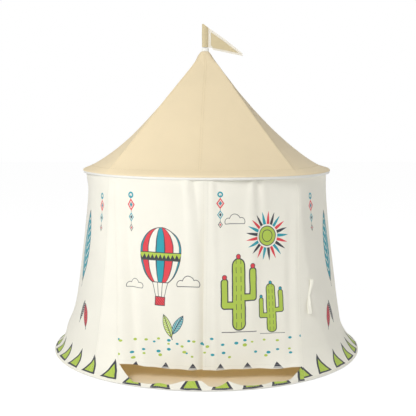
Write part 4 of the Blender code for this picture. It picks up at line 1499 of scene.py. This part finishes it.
lines = []
strip_middle = PENNANT_START + 0.0040
x = np.linspace(PENNANT_START + 0.010, PENNANT_TIP[0] - 0.010, 40)
low, high = pennant_edges(x)
strip_up = np.linspace(*pennant_edges(np.array([strip_middle])), 30)[1:-1, 0]
rows = (  # places, heights, how far they stand off the cloth's middle, and the front's bulge
    (x, high - 0.0088, 0.0014, BINDING_BULGE),
    (x, low + 0.0054, 0.0014, BINDING_BULGE),
    (strip_middle + 0 * strip_up, strip_up, 0.0018, 0.0),
)
for row_x, row_z, half, bulge in rows:
    for face in (-1, 1):
        y = pennant_wave(row_x, row_z) + face * half - (bulge if face < 0 else 0.0)
        out = np.zeros((len(row_x), 3))
        out[:, 1] = face
        lines.append((np.stack([row_x, y, row_z], axis=1), out, False))
flag_stitches = sew("flag_stitches", lines, thread_finish["tan_thread"])
dress(flag_stitches, ROOF_SLOT, body="flag")

# %% [markdown]
# ## Poles, sockets and ferrules
#
# These nodes already have the right shape, so they only get a finish. Pulled
# fibreglass shows fine lines along the rod and is a little translucent white.
# The sockets are moulded, with a grain too fine to see from far. The ferrules
# and the mast are drawn steel tube, brushed along their length.


# %% Hard finishes
def rod_finish(name, colour, metallic, rough, streak):
    """Fine lines along an upright or bent rod, from a noise stretched in height."""
    recipe = Recipe(name)
    place = recipe.coordinates("Object")
    lines = recipe.noise(place * (1.0, 1.0, 0.04), streak, 2.0)
    slow = recipe.noise(place, 9.0, 3.0)
    dark = (*(c * 0.72 for c in colour[:3]), 1.0)
    shade = recipe.mix(lines * 0.7 + slow * 0.3, dark, colour)
    return recipe.finish(shade, lines * 0.15 + rough, lines, 0.0002, Metallic=metallic)


fibreglass = rod_finish("fibreglass", dye("e6e4da"), 0.0, 0.34, 900.0)
steel = rod_finish("steel", dye("b9bcc0"), 1.0, 0.24, 1400.0)

recipe = Recipe("socket_plastic")
place = recipe.coordinates("Object")
grain = recipe.noise(place, 1600.0, 2.0)
wear = recipe.noise(place, 60.0, 4.0)
socket_colour = recipe.mix(wear, dye("d2d2cd"), dye("e6e6e1"))
socket_plastic = recipe.finish(socket_colour, wear * 0.2 + 0.38, grain, 0.00012)

CORNERS = ("front_left", "front_right", "rear_left", "rear_right")
FINISHES = {
    fibreglass: [f"{w}_{c}" for w in ("leg_pole", "roof_pole") for c in CORNERS]
    + [f"{w}_rod_{i}" for w in ("base", "eaves") for i in (1, 2, 3)]
    + ["flag_mast"],
    steel: [f"{w}_ferrule_{i}" for w in ("base", "eaves") for i in (1, 2, 3)],
    socket_plastic: [f"{w}_{c}" for w in ("leg_foot", "eaves_elbow") for c in CORNERS]
    + ["peak_hub"],
}
for finish, names in FINISHES.items():
    for name in names:
        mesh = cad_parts[name].data
        mesh.materials.clear()
        mesh.materials.append(finish)
print({finish.name: len(names) for finish, names in FINISHES.items()})

# %% [markdown]
# ## What each sheet was cut to
#
# Cloth hardly stretches, so the area of each sheet as it hangs has to be close
# to the area it was cut to. The gores and the wall panels are cut from one
# width of cloth each and joined.


# %% [markdown]
# ## Floor, light and background
#
# The photograph is a studio picture on white. One broad soft light stands left
# of the camera, and the rest is light from all round. The background is white
# only to rays that the camera can follow, so it adds nothing to the light on
# the cloth, and the ground still takes the tent's shadow.

# %% The ground
GROUND_REACH = 14.0
GROUND_Z = -0.0004  # a little below the tent, so that no two faces share a place


def seen_directly(recipe):
    """1 to rays from the camera, also by way of a mirror or glass, and 0 to all others."""
    rays = recipe.node("ShaderNodeLightPath", {}, {}).outputs
    seen = Value(recipe, rays["Is Camera Ray"])
    for kind in ("Is Glossy Ray", "Is Transmission Ray"):
        seen = seen.math("MAXIMUM", Value(recipe, rays[kind]))
    return seen


corners = [
    (x * GROUND_REACH, y * GROUND_REACH, GROUND_Z)
    for x, y in ((-1, -1), (1, -1), (1, 1), (-1, 1))
]
ground_mesh = bpy.data.meshes.new("ground")
ground_mesh.from_pydata(corners, [], [(0, 1, 2, 3)])
ground = new_object("ground", ground_mesh)
recipe = Recipe("studio_ground")
seen = seen_directly(recipe)
paper = recipe.node("ShaderNodeBsdfDiffuse", {}, {"Color": (0.90, 0.90, 0.90, 1)})
faint = recipe.node("ShaderNodeBsdfDiffuse", {}, {"Color": (0.22, 0.22, 0.22, 1)})
glow = recipe.node("ShaderNodeEmission", {}, {"Color": (1, 1, 1, 1), "Strength": 0.93})
lit = recipe.node("ShaderNodeAddShader", {}, {0: faint.outputs[0], 1: glow.outputs[0]})
either = recipe.node("ShaderNodeMixShader", {}, {0: seen, 1: paper.outputs[0], 2: lit.outputs[0]})
recipe.node("ShaderNodeOutputMaterial", {}, {"Surface": either.outputs[0]})
ground_mesh.materials.append(recipe.material)

# %% The light
WORLD_LIGHT = 0.26
MIDDLE = (0, 0, 0.55)
LAMPS_AWAY = 4.2


class WorldRecipe(Recipe):
    """The same methods for the world's nodes."""

    def __init__(self, made):
        self.tree = made.node_tree


world = bpy.data.worlds.new("studio")
world.use_nodes = True
world.node_tree.nodes.clear()
recipe = WorldRecipe(world)
strength = seen_directly(recipe) * (1.0 - WORLD_LIGHT) + WORLD_LIGHT
sky = recipe.node("ShaderNodeBackground", {}, {"Color": (1, 1, 1, 1), "Strength": strength})
recipe.node("ShaderNodeOutputWorld", {}, {"Surface": sky.outputs[0]})
bpy.context.scene.world = world


def soft_light(name, place, target, size, power, colour=(1, 1, 1)):
    """A square soft box at a place, turned to look at its target."""
    light = bpy.data.lights.new(name, "AREA")
    light.size = size
    light.energy = power
    light.color = colour
    lamp = new_object(name, light)
    lamp.location = place
    lamp.rotation_euler = (Vector(target) - Vector(place)).to_track_quat("-Z", "Y").to_euler()


def from_middle(azimuth, elevation):
    """A place in the studio, seen from the middle of the tent."""
    rise = math.radians(elevation)
    height = MIDDLE[2] + LAMPS_AWAY * math.sin(rise)
    return around(LAMPS_AWAY * math.cos(rise), azimuth, height)


soft_light("key_light", from_middle(-32, 30), MIDDLE, 1.6, 114)
soft_light("fill_light", from_middle(77, 4), MIDDLE, 2.4, 51)
# Light that real thin cloth lets through is stood in for by a warm lamp under the roof.
soft_light("inner_glow", (0, 0, 0.66), (0, 0, 0), 0.5, 1.38, (1.0, 0.79, 0.44))
bpy.context.scene.view_settings.view_transform = "Standard"
print("studio ready")
